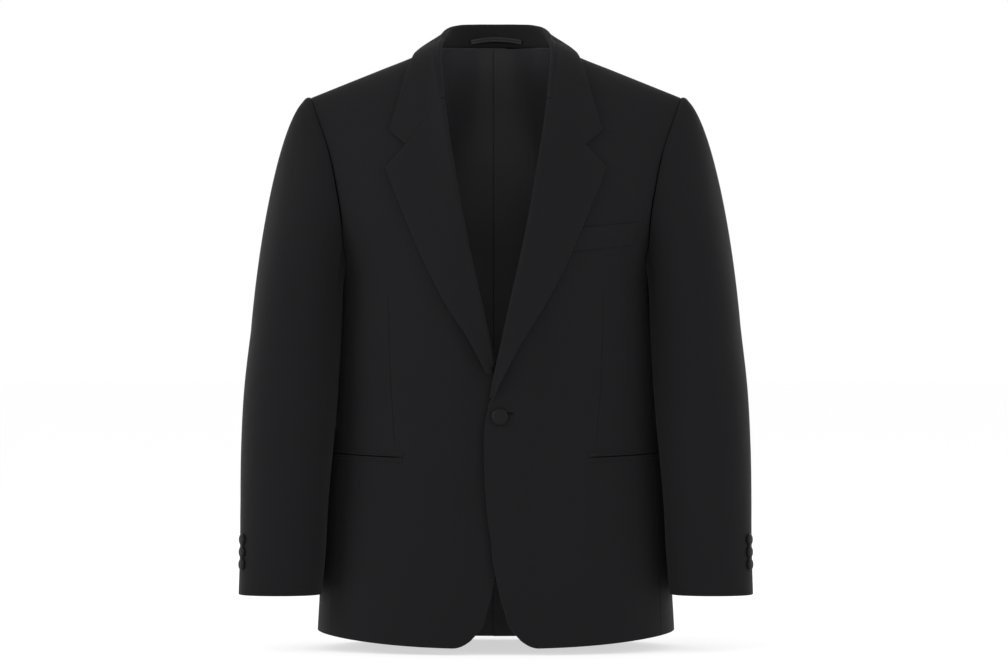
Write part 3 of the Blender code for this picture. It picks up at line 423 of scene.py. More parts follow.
def pushed_out(p, least):
    """Points moved away from the body until they are at least this far from it."""
    for _ in range(3):
        short = np.maximum(least - body_distance(p), 0.0)
        p = p + body_normal(p) * short[..., None]
    return p


def laid_on(p, height):
    """Points moved along the body's normal to this height over it."""
    for _ in range(4):
        p = p + body_normal(p) * (height - body_distance(p))[..., None]
    return p


def hem_z(angle):
    """Height of the hem round the body."""
    drop = np.where(np.cos(angle) > 0, HEM_FRONT_DROP, HEM_BACK_DROP)
    return HEM_SIDE_Z - drop * np.cos(angle) ** 2


ARMHOLE_FRONT_ANGLE = float(body_angle(front_armhole_x(ARMHOLE_SHOULDER_Z), ARMHOLE_SHOULDER_Z))
ARMHOLE_BACK_ANGLE = float(
    body_angle(back_armhole_x(ARMHOLE_SHOULDER_Z), ARMHOLE_SHOULDER_Z, behind=True)
)
ARMPIT_ANGLE = (ARMHOLE_FRONT_ANGLE + ARMHOLE_BACK_ANGLE) / 2
ARMPIT_SPAN = (ARMHOLE_BACK_ANGLE - ARMHOLE_FRONT_ANGLE) / 2
SHOULDER_TIP_Z = float(shoulder_z(SHOULDER_TIP_X))


def armhole_z_at(angle):
    """Height of the dip under the arm at an angle."""
    share = np.clip((angle - ARMPIT_ANGLE) / ARMPIT_SPAN, -1.0, 1.0)
    return ARMHOLE_SHOULDER_Z - ARMPIT_DIP * np.sqrt(1 - share**2)


# Fine steps along a path before it is divided evenly.
PATH_STEPS = 200


def evenly(pairs, count):
    """Pairs (angle, z) along a path, thinned to `count` even steps on the body."""
    run = run_of(on_body(pairs))
    return read_at(np.linspace(0, run[-1], count + 1), run, pairs)


def armhole_half(behind, count):
    """Armhole seam from the side seam up to the shoulder tip."""
    seam = math.radians((BACK_SEAM_DEGREES if behind else FRONT_SEAM_DEGREES)[1])
    sign = 1 if behind else -1
    start = math.acos(np.clip(sign * (seam - ARMPIT_ANGLE) / ARMPIT_SPAN, -1, 1))
    turn = np.linspace(start, 0, PATH_STEPS)[:-1]
    angle = ARMPIT_ANGLE + sign * ARMPIT_SPAN * np.cos(turn)
    dip = pair(angle, ARMHOLE_SHOULDER_Z - ARMPIT_DIP * np.sin(turn))
    share = np.linspace(0, 1, PATH_STEPS) ** 2
    z = SHOULDER_TIP_Z + (ARMHOLE_SHOULDER_Z - SHOULDER_TIP_Z) * share[::-1]
    table = back_armhole_x if behind else front_armhole_x
    upper = pair(body_angle(table(z), z, behind), z)
    return evenly(np.concatenate([dip, upper]), count)


def coons(left, right, bottom, top, u, t):
    """Grid of values filled in between four edges that share their corners."""
    left, right = left[:, None], right[:, None]
    bottom, top = bottom[None], top[None]
    u, t = u[None, :, None], t[:, None, None]
    corners = (
        (1 - u) * (1 - t) * bottom[:, :1]
        + u * (1 - t) * bottom[:, -1:]
        + (1 - u) * t * top[:, :1]
        + u * t * top[:, -1:]
    )
    return (1 - u) * left + u * right + (1 - t) * bottom + t * top - corners


# Spacing of the fine grids: close together at an edge or a dart, even between.
EDGE_STEPS = np.array([0.0, 0.00025, 0.0006, 0.0011, 0.0018, 0.0030])
DART_STEPS = np.array([-3.4, -1.7, -1.0, -0.6, -0.3, 0.0, 0.3, 0.6, 1.0, 1.7, 3.4]) / 1000
STEP = 0.0034
DENSE = 240
NECK_STEPS = DENSE // 3
# Share of a front's columns that lie between its front edge and the dart.
DART_SHARE = 0.62

# Edges of a panel: how deep the outside dips there, and over what width.
FREE_EDGE = (0.00094, 0.0011)
SEAM = (0.00080, 0.0016)
GORGE_SEAM = (0.00180, 0.0026)
ARM_SEAM = (0.00095, 0.0018)
ARM_SEAM_MORE = (0.00085, 0.0014)
ARM_SEAM_FROM = 0.1
ARM_SEAM_OVER = 0.4
ARM_SEAM_RISE = 0.02
NO_EDGE = (0.0, 0.0010)
SEAM_LAP = 0.0002

# Front dart, a line down the front that ends at the pocket.
DART = (
    # z, x
    (-0.4800, 0.1192),
    (-0.4200, 0.1243),
    (-0.2880, 0.1285),
)
DART_DEPTH = 0.00080
DART_WIDTH = 0.0007
DART_TAPER = 0.012
dart_x = smooth(DART)


def graded(length, low=True, high=True, step=STEP):
    """Distances along a run."""
    start = EDGE_STEPS if low else EDGE_STEPS[:1]
    end = length - (EDGE_STEPS[::-1] if high else EDGE_STEPS[:1])
    count = max(2, round((end[0] - start[-1]) / step))
    return np.concatenate([start, np.linspace(start[-1], end[0], count + 1)[1:-1], end])


def picked(pairs, low, high):
    """The (angle, z) path again with the fine grid's spacing."""
    run = run_of(on_body(pairs))
    return read_at(graded(run[-1], low, high), run, pairs)


def side_seam(behind):
    """Side seam from the hem up to the armhole."""
    low, high = np.radians(BACK_SEAM_DEGREES if behind else FRONT_SEAM_DEGREES)
    t = np.linspace(0, 1, DENSE)
    bottom, top = hem_z(low), armhole_z_at(high)
    return pair(low + (high - low) * t, bottom + (top - bottom) * t)


def outer_edge(behind):
    """Side seam and armhole together."""
    seam = picked(side_seam(behind), True, False)
    return np.concatenate([seam, picked(armhole_half(behind, DENSE), False, True)[1:]])


def row_steps(length, count, dart):
    """Distances across one row, with more of them near its ends and near the dart."""
    start, end = EDGE_STEPS, length - EDGE_STEPS[::-1]
    if dart is None:
        return np.concatenate([start, np.linspace(start[-1], end[0], count + 1)[1:-1], end])
    near = dart + DART_STEPS
    first = round(count * DART_SHARE)
    left = np.linspace(start[-1], near[0], first + 1)[1:-1]
    right = np.linspace(near[-1], end[0], count - first + 1)[1:-1]
    return np.concatenate([start, left, near, right, end])


def fill(left, right, bottom, top, with_dart=False):
    """Fine (angle, z) grid between four edges. The bottom and top are evenly spaced in share."""
    t = share_of(right[:, 1])
    share = np.linspace(0, 1, len(bottom))
    coarse = coons(left, right, bottom, top, share, t)
    p = on_body(coarse)
    run = run_of(p, axis=1)
    count = round(float(run[:, -1].max()) / STEP)
    grid = []
    for i in range(len(t)):
        dart = None
        if with_dart:
            dart = np.interp(dart_x(p[i, 0, 2]), p[i, :, 0], run[i])
            height = coarse[i, np.searchsorted(run[i], dart), 1]
            dart = np.interp(dart_x(height), p[i, :, 0], run[i])
        wanted = row_steps(run[i, -1], count, dart)
        grid.append(read_at(np.interp(wanted, run[i], share), share, coarse[i]))
    return np.array(grid)


def crossing(rows, columns):
    """Cross product of two fields of directions, made unit length."""
    return unit(np.cross(rows, columns))


def spread(p, normals):
    """The grid with each border moved out a little, so that the cloth of a seam meets."""
    borders = (
        ((0, slice(None)), (1, slice(None))),
        ((-1, slice(None)), (-2, slice(None))),
        ((slice(None), 0), (slice(None), 1)),
        ((slice(None), -1), (slice(None), -2)),
    )
    shift = np.zeros_like(p)
    for edge, inner in borders:
        inward = crossing(normals[edge], np.gradient(p[edge], axis=0))
        inward *= np.sign(np.sum(inward * (p[inner] - p[edge]), axis=-1, keepdims=True))
        shift[edge] -= inward * SEAM_LAP
    return p + shift


def arm_seam(share):
    """Armhole edge, deeper as the share goes from 0 at the shoulder tip to 1."""
    more = ease((share - ARM_SEAM_FROM) / ARM_SEAM_OVER)
    return tuple(least + add * more for least, add in zip(ARM_SEAM, ARM_SEAM_MORE))


def edge_dip(distance, edge):
    """How far the cloth rounds off at this distance from one of its edges."""
    deep, wide = edge
    t = np.clip(1 - distance / wide, 0, 1)
    return deep * (1 - np.sqrt(1 - t**2))


def dips(p, left, right, bottom, top):
    """Rounding off of a grid at its four edges."""
    across, up = run_of(p, axis=1), run_of(p, axis=0)
    sides = np.maximum(edge_dip(across, left), edge_dip(across[:, -1:] - across, right))
    ends = np.maximum(edge_dip(up, bottom), edge_dip(up[-1:] - up, top))
    return np.maximum(sides, ends)


def lap_lift(x, lift):
    """Normal shift of a front at x, full at the centre and none farther out."""
    fade = 1 - ease((x - LAP_FADE_FROM) / (LAP_FADE_TO - LAP_FADE_FROM))
    return lift * fade


def over_front(x, z, height, lift):
    """Point this high over a front, and the front's normal there."""
    p = body_point(body_angle(x, z), z)
    n = body_normal(p)
    return p + n * (height + lap_lift(np.asarray(x), lift))[..., None], n


roll_gap = smooth(ROLL_GAPS)
lapel_edge_x = smooth(LAPEL_EDGE)


def roll_radius(z):
    """Outer radius of the lapel's roll."""
    return roll_gap(z) / 2 + LAPEL_CLOTH


def recessed_edge():
    """Front edge, then the seam hidden behind the roll, then the neck edge."""
    behind_roll = [(z, x) for z, x in BREAK_LINE if z > LEFT_LAPEL_LOW_Z]
    behind_roll.append((LEFT_LAPEL_LOW_Z, float(break_x(LEFT_LAPEL_LOW_Z))))
    hidden = [(z, x + float(roll_radius(z))) for z, x in behind_roll]
    return smooth([*FRONT_EDGE, *BREAK_EDGE, *hidden, *NECK_EDGE])


front_edge_x = recessed_edge()
GORGE_Z = BREAK_LINE[-1][0]


def neck_seam_z(x):
    """Height of the back neck seam."""
    return NECK_SEAM_Z - (NECK_SEAM_Z - NECK_TOP_Z) * (x / NECK_TOP_X) ** 2


def back_top(neck_columns, shoulder_columns):
    """(angle, z) along the back's neck seam and shoulder seam."""
    neck = NECK_TOP_X * np.linspace(0, 1, neck_columns + 1)
    shoulder = NECK_TOP_X + (SHOULDER_TIP_X - NECK_TOP_X) * np.linspace(0, 1, shoulder_columns + 1)
    x = np.concatenate([neck, shoulder[1:]])
    z = np.concatenate([neck_seam_z(neck), shoulder_z(shoulder[1:])])
    return pair(body_angle(x, z, behind=True), z)


# Sleeve sections below the cap, as rounded rings round the arm.
RING_ROUND = 2.0 / 2.2
SLEEVE_RINGS = (
    # z, centre x, centre y, half x, half y
    (-0.3355, 0.2418, -0.0260, 0.0553, 0.0680),
    (-0.4090, 0.2475, -0.0360, 0.0567, 0.0635),
    (-0.4750, 0.2517, -0.0460, 0.0554, 0.0580),
    (-0.5514, 0.2555, -0.0540, 0.0528, 0.0520),
    (-0.6000, 0.2567, -0.0580, 0.0518, 0.0480),
    (-0.6536, 0.2597, -0.0610, 0.0502, 0.0445),
)
BICEP_Z = SLEEVE_RINGS[0][0]
CUFF_Z = SLEEVE_RINGS[-1][0]
UNDERARM_TURN = math.radians(22)
CUFF_TURN = math.radians(55)
CUFF_TURN_MORE = math.radians(15)
CUFF_TURN_MOST_AT = math.radians(300)
CAP_FULLNESS = 0.35
CAP_ROUNDNESS = 0.90
SLEEVE_CLEARANCE = 0.0016
SLEEVE_CLEAR_FROM = -0.262
SLEEVE_CLEAR_OVER = 0.020
sleeve_ring = smooth(SLEEVE_RINGS)


def ring_point(turn, z):
    """Point of the sleeve below the cap: 0 faces out, a quarter turn faces the front."""
    ring = sleeve_ring(z)
    c, s = np.cos(turn), np.sin(turn)
    x = ring[..., 0] + ring[..., 2] * np.sign(c) * np.abs(c) ** RING_ROUND
    y = ring[..., 1] - ring[..., 3] * np.sign(s) * np.abs(s) ** RING_ROUND
    return point(x, y, z)


# Columns of the sleeve, counted round the armhole from the shoulder tip as the panels meet it.
ARM_COLUMNS = 9
DIP_COLUMNS = 5
FOREARM_COLUMN = 9
ELBOW_COLUMN = 19
COLUMN_STEPS = np.array([0.010, 0.024, 0.044, 0.075, 0.120])
CAP_SHARES = np.concatenate([[0, 0.001, 0.0025, 0.0045, 0.0075, 0.012], np.linspace(0.018, 1, 58)])
CUFF_SHARES = np.concatenate([np.linspace(0, 0.990, 92)[1:], [0.9935, 0.9962, 0.9980, 0.9992, 1.0]])
COLUMNS_PER_STEP = 8


def sleeve_columns():
    """Column places round the armhole, closer together beside the two sleeve seams."""
    total = 2 * ARM_COLUMNS + DIP_COLUMNS
    even = np.arange(total * COLUMNS_PER_STEP) / COLUMNS_PER_STEP
    near = [seam + sign * COLUMN_STEPS for seam in (FOREARM_COLUMN, ELBOW_COLUMN) for sign in (1, -1)]
    return np.unique(np.round(np.concatenate([even, *near]), 6))


def armhole_loop(columns):
    """Armhole from the shoulder tip down the front, under the arm and up the back."""
    front = armhole_half(False, DENSE)[::-1]
    back = armhole_half(True, DENSE)
    angle = np.linspace(front[-1, 0], back[0, 0], DENSE + 1)
    dip = pair(angle, armhole_z_at(angle))
    parts = (
        (front, 0, ARM_COLUMNS),
        (dip, ARM_COLUMNS, DIP_COLUMNS),
        (back, ARM_COLUMNS + DIP_COLUMNS, ARM_COLUMNS),
    )
    place = np.concatenate([first + np.linspace(0, 1, len(path)) * count for path, first, count in parts])
    pairs = np.concatenate([path for path, *_ in parts])
    return on_body(read_at(columns, place, pairs))


def sleeve_grid(loop):
    """Outer surface of the sleeve, cap first, one column for each point of the armhole."""
    closed = np.concatenate([loop, loop[:1]])
    run = run_of(closed)
    share = (run / run[-1])[:-1]
    turn = 2 * math.pi * share + UNDERARM_TURN * np.sin(math.pi * share) ** 2
    bicep = ring_point(turn, np.full(len(turn), BICEP_Z))
    rows = []
    for s in CAP_SHARES:
        p = loop + (bicep - loop) * (s + CAP_FULLNESS * s**3 * (1 - s))
        p[:, 1] += (bicep - loop)[:, 1] * CAP_ROUNDNESS * s * (1 - s) ** 1.5
        p[:, 2] = loop[:, 2] + (BICEP_Z - loop[:, 2]) * s**2
        rows.append(p)
    more = CUFF_TURN + CUFF_TURN_MORE * np.cos(turn - CUFF_TURN_MOST_AT)
    for s in CUFF_SHARES:
        z = np.full(len(turn), BICEP_Z + (CUFF_Z - BICEP_Z) * s)
        rows.append(ring_point(turn + more * ease(s), z))
    p = np.array(rows)
    least = SLEEVE_CLEARANCE * ease((SLEEVE_CLEAR_FROM - p[1:, :, 2]) / SLEEVE_CLEAR_OVER)
    near = least > 0
    p[1:][near] = pushed_out(p[1:][near], least[near])
    return p


def ring_normals(p):
    """Normals of a grid whose columns close on themselves."""
    return crossing(np.roll(p, -1, axis=1) - np.roll(p, 1, axis=1), np.gradient(p, axis=0))


# Step that gives the direction of the roll.
FOLD_STEP = 0.002


def fold_frame(z, lift):
    """Seam behind the roll: point, normal and direction to the centre."""
    p, n = over_front(front_edge_x(z), z, 0.0, lift)
    above, below = (over_front(front_edge_x(at), at, 0.0, lift)[0] for at in (z + FOLD_STEP, z - FOLD_STEP))
    down = below - above
    down = unit(down - n * np.sum(down * n, axis=-1, keepdims=True))
    return p, n, np.cross(down, n)


def roll_arc(centre, out, apex, radius, share):
    """Points and normals round a roll, from the hidden side (0) to the leaf (1)."""
    beta = math.pi * share[:, None]
    n = -out * np.cos(beta) + apex * np.sin(beta)
    return centre + n * radius, n


# Columns of a leaf, closer together at the notch and at the outer edge, and rows of a lapel.
NOTCH_SHARE = 2 / 3
LEAF_SHARES = np.concatenate([
    np.linspace(0, NOTCH_SHARE - 0.016, 32),
    NOTCH_SHARE + np.array([-0.007, -0.002, 0, 0.002, 0.007]),
    np.linspace(NOTCH_SHARE + 0.016, 0.965, 15),
    [0.976, 0.985, 0.991, 0.996, 1.0],
])
ARC_SHARES = np.linspace(0, 1, 15)
LAPEL_SHARES = np.concatenate([
    [0, 0.002, 0.005, 0.010],
    np.linspace(0.018, 0.982, 100),
    [0.990, 0.995, 0.998, 1.0],
])
LEAF_EDGE = (0.00112, 0.0013)

# How far the lapel's outer edge stands off the chest.
edge_gap = smooth([
    # z, gap
    (-0.4205, 0.0012),
    (-0.3880, 0.0058),
    (-0.3500, 0.0068),
    (-0.2900, 0.0046),
    (-0.2100, 0.0028),
    (-0.1300, 0.0022),
])

# The left lapel's low end sinks into the edge of the front.
LAPEL_SINK = 0.0024
LAPEL_SINK_OVER = 0.022


def leaf_line(low, corner, tip):
    """(x, z) pairs in straight runs from one point through the next."""
    s = LEAF_SHARES[:, None]
    low, corner, tip = np.array(low), np.array(corner), np.array(tip)
    inner = low + (corner - low) * s / NOTCH_SHARE
    return np.where(s < NOTCH_SHARE, inner, corner + (tip - corner) * (s - NOTCH_SHARE) / (1 - NOTCH_SHARE))


def leaf_height(share, gap, edge_gap):
    """Height of the leaf's upper side over the chest."""
    return LAPEL_CLOTH + gap + (edge_gap - gap) * ease(share)


def roll_start(z, lift):
    """Centre, normal, centreward direction and radius of the roll at a height."""
    p, n, inward = fold_frame(z, lift)
    radius = float(roll_radius(z))
    return p + n * (radius - LAPEL_CLOTH) + inward * SEAM_GAP, n, inward, radius


def lapel_grid(low_z, low_end, lift):
    """Upper side of a lapel from its low end up to the gorge seam, with its normals."""
    z_rows = low_z + (GORGE_Z - low_z) * LAPEL_SHARES
    arcs, arc_normals = [], []
    for z in z_rows:
        centre, n, inward, radius = roll_start(z, lift)
        p, normals = roll_arc(centre, n, inward, radius, ARC_SHARES)
        arcs.append(p)
        arc_normals.append(normals)
    arcs, arc_normals = np.array(arcs), np.array(arc_normals)
    ends = arcs[:, -1][:, [0, 2]]
    edge_z = low_end[1] + (LAPEL_POINT[1] - low_end[1]) * LAPEL_SHARES
    edge = pair(lapel_edge_x(edge_z), edge_z)
    edge[0] = low_end
    top = leaf_line(ends[-1], NOTCH_INNER, LAPEL_POINT)
    bottom = ends[0] + (edge[0] - ends[0]) * LEAF_SHARES[:, None]
    leaf = coons(ends, edge, bottom, top, LEAF_SHARES, LAPEL_SHARES)
    height = leaf_height(LEAF_SHARES[None], roll_gap(z_rows)[:, None], edge_gap(edge_z)[:, None])
    p, n = over_front(leaf[..., 0], leaf[..., 1], height, lift)
    sink = LAPEL_SINK * (1 - ease((z_rows - z_rows[0]) / LAPEL_SINK_OVER)) * (lift > 0)
    p = np.concatenate([arcs, p[:, 1:]], axis=1)
    p = p - body_normal(p) * sink[:, None, None]
    return p, np.concatenate([arc_normals, n[:, 1:]], axis=1)


def seam_point(station):
    """Neck seam at a collar station: point, normal and direction from the panel to the collar."""

    def at(s):
        if s <= 1:
            x = NECK_TOP_X * s
            z = neck_seam_z(x)
            return body_point(body_angle(x, z, behind=True), z)
        z = NECK_TOP_Z + (GORGE_Z - NECK_TOP_Z) * (s - 1)
        return body_point(body_angle(front_edge_x(z), z), z)

    step = 0.01
    along = at(min(station + step, GORGE_STATION)) - at(station - step)
    p = at(station)
    n = body_normal(p)
    return p, n, unit(np.cross(along, n))


stations = smooth(COLLAR_STATIONS)


def collar_roll(station):
    """Roll of the collar at a station: centre, outward direction, apex direction and radius."""
    end_centre, end_n, end_in, radius = roll_start(GORGE_Z, 0.0)
    if station >= GORGE_STATION:
        return end_centre, end_n, end_in, radius
    found = stations(min(station, LAST_STATION))
    before = stations(min(station, LAST_STATION) - 0.02)
    fold, out = found[:3], found[6:9]
    along = unit(fold - before[:3]) if station > 0.02 else np.array([1.0, 0.0, 0.0])
    if station > LAST_STATION:
        end_fold = end_centre + end_in * radius
        share = (station - LAST_STATION) / (GORGE_STATION - LAST_STATION)
        along = unit(end_fold - fold)
        fold = fold + (end_fold - fold) * share
        out = unit(out) * (1 - share) + end_n * share
    out = unit(out - along * np.dot(out, along))
    apex = unit(np.cross(along, out))
    if station > LAST_STATION:
        apex = unit(apex * (1 - share) + end_in * share)
    centre = fold - apex * radius
    low = (centre + out * radius)[None]
    short = LAPEL_CLOTH + COLLAR_LEAST_GAP - float(body_distance(low)[0])
    if station > COLLAR_LIES_FROM and short > 0:
        centre = centre + body_normal(low)[0] * short * ease((station - COLLAR_LIES_FROM) / 0.1)
    return centre, out, apex, radius


def collar_stand(station, centre, out, apex, radius):
    """Inside of the collar from the neck seam up the stand and round the roll."""
    seam, seam_n, beyond = seam_point(station)
    start = seam - seam_n * LAPEL_CLOTH + beyond * COLLAR_SEAM_GAP
    stand = centre - out * radius
    stand_run, arc_run = float(np.linalg.norm(stand - start)), math.pi * radius
    even = (stand_run + arc_run) * np.linspace(0, 1, len(ARC_SHARES))
    count = len(ARC_SHARES) // 2
    plain = np.concatenate([
        stand_run * np.linspace(0, 1, count + 1),
        stand_run + arc_run * np.linspace(0, 1, len(ARC_SHARES) - count)[1:],
    ])
    blend = ease(stand_run / COLLAR_STAND_BLEND)
    run = plain * blend + even * (1 - blend)
    rise = start + (stand - start) * (run / stand_run)[:, None]
    turned = roll_arc(centre, out, apex, radius, np.clip((run - stand_run) / arc_run, 0, 1))[0]
    return np.where((run < stand_run)[:, None], rise, turned)


def gorge_bend():
    """How far the gorge line bends away from the straight line to the collar's point."""
    centre, out, _, radius = collar_roll(GORGE_STATION)
    low = centre + out * radius
    start = (float(low[0]), float(low[2]))
    bent = leaf_line(start, NOTCH_INNER, COLLAR_POINT)
    straight = np.array(start) + (np.array(COLLAR_POINT) - start) * LEAF_SHARES[:, None]
    flat = [over_front(line[:, 0], line[:, 1], 0.0, 0.0)[0] for line in (bent, straight)]
    return flat[0] - flat[1]


def collar_leaf(station, low, out, bend):
    """Leaf of the collar from the end of the roll to its edge, the notch at its own column."""
    height = leaf_height(LEAF_SHARES, float(roll_gap(GORGE_Z)), LAPEL_EDGE_GAP)
    last = max(0.0, (station - LAST_STATION) / (GORGE_STATION - LAST_STATION))
    edge_height = LAPEL_CLOTH + LAPEL_EDGE_GAP
    tip = over_front(*[np.array(v) for v in COLLAR_POINT], edge_height, 0.0)[0]
    edge = stations(min(station, LAST_STATION))[3:6]
    edge = edge + (tip - edge) * last
    settle = ease((station - COLLAR_LIES_FROM) / 0.15)
    edge = edge * (1 - settle) + laid_on(edge[None], edge_height)[0] * settle
    bulge = COLLAR_LEAF_BULGE * (4 * LEAF_SHARES * (1 - LEAF_SHARES))[:, None] * out * (1 - last)
    leaf = low + (edge - low) * LEAF_SHARES[:, None] + bulge
    leaf = leaf + bend * max(0.0, (station - COLLAR_BENDS_FROM) / (GORGE_STATION - COLLAR_BENDS_FROM))
    over = pushed_out(leaf, LAPEL_CLOTH + COLLAR_LEAST_GAP)
    lie = ease((station - COLLAR_LIES_FROM) / COLLAR_LIES_OVER)
    return over * (1 - lie) + laid_on(leaf, height) * lie


def collar_row(station, bend):
    """Visible side of the collar at a station, from the neck seam over the fold to the edge."""
    centre, out, apex, radius = collar_roll(station)
    inside = collar_stand(station, centre, out, apex, radius)
    leaf = collar_leaf(station, inside[-1], out, bend)
    return np.concatenate([inside, leaf[1:]])


# Breast pocket: lower edge and upper edge of the welt, from the inner end.
WELT_LOWER = ((0.0825, -0.2433), (0.1620, -0.2334))
WELT_UPPER = ((0.0925, -0.2147), (0.1719, -0.2066))
WELT_LENGTH = 0.080
WELT_HEIGHT = 0.027
WELT_STEP = 0.0016

# Hip pocket: the slit runs round the side from here, and each jet is a strip along it.
SLIT_START = (0.1110, -0.4880)
SLIT_RISE = 0.0050
SLIT_LENGTH = 0.150
SLIT_MOST_TURN = 1.2
SLIT_HALF = 0.0004
JET_HEIGHT = 0.0058
JET_COLUMNS = 12
TRIM_LIFT = 0.0005


def slit_line():
    """Angles and heights along the hip pocket's slit, even on the body."""
    start = float(body_angle(*SLIT_START))
    angle = np.linspace(start, start + SLIT_MOST_TURN, PATH_STEPS)
    z = np.full_like(angle, SLIT_START[1])
    run = run_of(body_point(angle, z))
    goal = np.linspace(0, SLIT_LENGTH, JET_COLUMNS + 1)
    rise = SLIT_RISE * goal / SLIT_LENGTH
    return np.interp(goal, run, angle), SLIT_START[1] + rise


# Covered buttons: share of the radius and of the height at each ring of the profile.
BUTTON_PROFILE = (
    # radius, height
    (0.84, 0.00),
    (1.00, 0.22),
    (0.94, 0.58),
    (0.73, 0.85),
    (0.40, 0.97),
)
FRONT_BUTTON = (0.0046, -0.4388)
FRONT_BUTTON_RADIUS = 0.0102
FRONT_BUTTON_HEIGHT = 0.0048
CUFF_BUTTON_RADIUS = 0.0071
CUFF_BUTTON_HEIGHT = 0.0036
CUFF_BUTTON_Z = (-0.5870, -0.6019, -0.6168)
CUFF_BUTTON_TURN = math.radians(27)
BUTTON_LIFT = 0.0005


def sleeve_place(turn, z):
    """Point and normal on the lower sleeve."""
    step = 1e-4
    at = np.array(z)
    p = ring_point(np.array(turn), at)
    around = ring_point(np.array(turn + step), at) - p
    down = ring_point(np.array(turn), at - step) - p
    return p, unit(np.cross(around, down))


# Back lining: its edges stop short of the back's, and its left half laps over at the centre.
LINING_HEM_RISE = 0.0100
LINING_TOP_DROP = 0.0015
LINING_SIDE_SHARE = 0.97
PLEAT_UNDER_X = 0.0120
PLEAT_OVER_X = -0.0035
PLEAT_STEP = 0.0028
PLEAT_FADE_FROM = 0.016
PLEAT_FADE_TO = 0.060

# Hanger loop on the inside of the collar's stand.
LOOP_HALF = 0.0320
LOOP_HEIGHT = 0.0060
LOOP_Z = 0.0190
LOOP_ARCH = 0.0040
LOOP_STAND_OFF = 0.0020
LOOP_LIFT = 0.0008
LOOP_STEP = 0.0007
# It lies on the collar's stand between the centre back and this station.
LOOP_STATION = 0.6

# Soft folds in the cloth, each a ridge (height over 0) or a trough that dies out at both ends.
# On the body they are placed by x and z, in front and behind, and they differ left from right.
FRONT_FOLDS = (
    # x, z, to x, to z, bow, width, height
    (0.016, -0.442, 0.104, -0.456, 0.004, 0.0110, 0.00045),
    (0.018, -0.430, 0.090, -0.410, -0.003, 0.0120, -0.00040),
    (-0.010, -0.438, -0.098, -0.422, -0.004, 0.0110, 0.00045),
    (-0.012, -0.450, -0.088, -0.462, 0.004, 0.0130, -0.00040),
    (-0.020, -0.470, -0.064, -0.680, 0.008, 0.0260, -0.00110),
    (0.026, -0.466, 0.078, -0.676, -0.010, 0.0290, -0.00120),
    (0.168, -0.150, 0.150, -0.340, 0.008, 0.0200, -0.00130),
    (-0.170, -0.140, -0.147, -0.325, -0.009, 0.0210, -0.00120),
    (0.138, -0.170, 0.126, -0.300, 0.004, 0.0170, 0.00060),
    (-0.140, -0.160, -0.127, -0.310, -0.005, 0.0180, 0.00065),
    (0.176, -0.412, 0.108, -0.434, 0.004, 0.0150, -0.00090),
    (-0.178, -0.402, -0.110, -0.427, -0.005, 0.0160, -0.00095),
    (0.150, -0.520, 0.158, -0.695, 0.004, 0.0230, 0.00110),
    (-0.148, -0.512, -0.161, -0.690, -0.006, 0.0250, 0.00120),
)
BACK_FOLDS = (
    # x, z, to x, to z, bow, width, height
    (0.160, -0.110, 0.136, -0.370, 0.012, 0.0210, -0.00306),
    (-0.162, -0.100, -0.134, -0.350, -0.013, 0.0220, -0.00288),
    (0.182, -0.190, 0.168, -0.400, 0.004, 0.0150, 0.00198),
    (-0.184, -0.180, -0.166, -0.410, -0.005, 0.0160, 0.00216),
    (-0.112, -0.402, 0.070, -0.420, 0.007, 0.0150, -0.00180),
    (0.020, -0.448, 0.142, -0.432, -0.005, 0.0160, -0.00171),
    (-0.150, -0.446, -0.040, -0.462, 0.004, 0.0140, -0.00153),
    (0.066, -0.480, 0.082, -0.700, 0.006, 0.0300, 0.00270),
    (-0.074, -0.490, -0.088, -0.705, -0.007, 0.0320, 0.00252),
    (0.120, -0.500, 0.132, -0.690, 0.004, 0.0240, -0.00198),
    (-0.124, -0.495, -0.138, -0.695, -0.005, 0.0250, -0.00207),
)

# On the sleeves they are placed by the turn round the arm, in degrees, and z.
LEFT_SLEEVE_FOLDS = (
    # turn, z, to turn, to z, bow, width, height
    (46, -0.404, 128, -0.452, 0.006, 0.0110, -0.00130),
    (40, -0.430, 118, -0.474, 0.005, 0.0100, 0.00080),
    (58, -0.476, 124, -0.500, 0.004, 0.0100, -0.00090),
    (82, -0.230, 104, -0.390, 0.006, 0.0180, -0.00130),
    (28, -0.120, 36, -0.300, 0.006, 0.0220, -0.00080),
    (74, -0.500, 98, -0.640, 0.006, 0.0200, 0.00080),
    (8, -0.330, -6, -0.560, 0.004, 0.0240, 0.00070),
    (-118, -0.250, -86, -0.400, 0.008, 0.0170, -0.00225),
    (-112, -0.420, -36, -0.460, 0.006, 0.0130, -0.00195),
    (-104, -0.462, -40, -0.492, 0.004, 0.0110, 0.00120),
    (-70, -0.480, -58, -0.640, 0.005, 0.0190, -0.00135),
    (-62, -0.110, -84, -0.240, 0.006, 0.0160, -0.00180),
)
RIGHT_SLEEVE_FOLDS = (
    # turn, z, to turn, to z, bow, width, height
    (50, -0.396, 124, -0.440, 0.006, 0.0120, -0.00120),
    (44, -0.424, 122, -0.466, 0.005, 0.0110, 0.00090),
    (54, -0.468, 116, -0.496, 0.004, 0.0110, -0.00080),
    (86, -0.225, 100, -0.372, 0.006, 0.0190, -0.00120),
    (22, -0.130, 38, -0.310, 0.006, 0.0230, -0.00080),
    (80, -0.508, 94, -0.636, 0.006, 0.0210, 0.00070),
    (4, -0.340, -10, -0.540, 0.004, 0.0250, 0.00080),
    (-116, -0.240, -92, -0.410, 0.008, 0.0180, -0.00210),
    (-110, -0.410, -42, -0.452, 0.006, 0.0130, -0.00180),
    (-100, -0.456, -34, -0.490, 0.004, 0.0120, 0.00135),
    (-66, -0.490, -60, -0.630, 0.005, 0.0180, -0.00120),
    (-58, -0.115, -88, -0.250, 0.006, 0.0170, -0.00165),
)
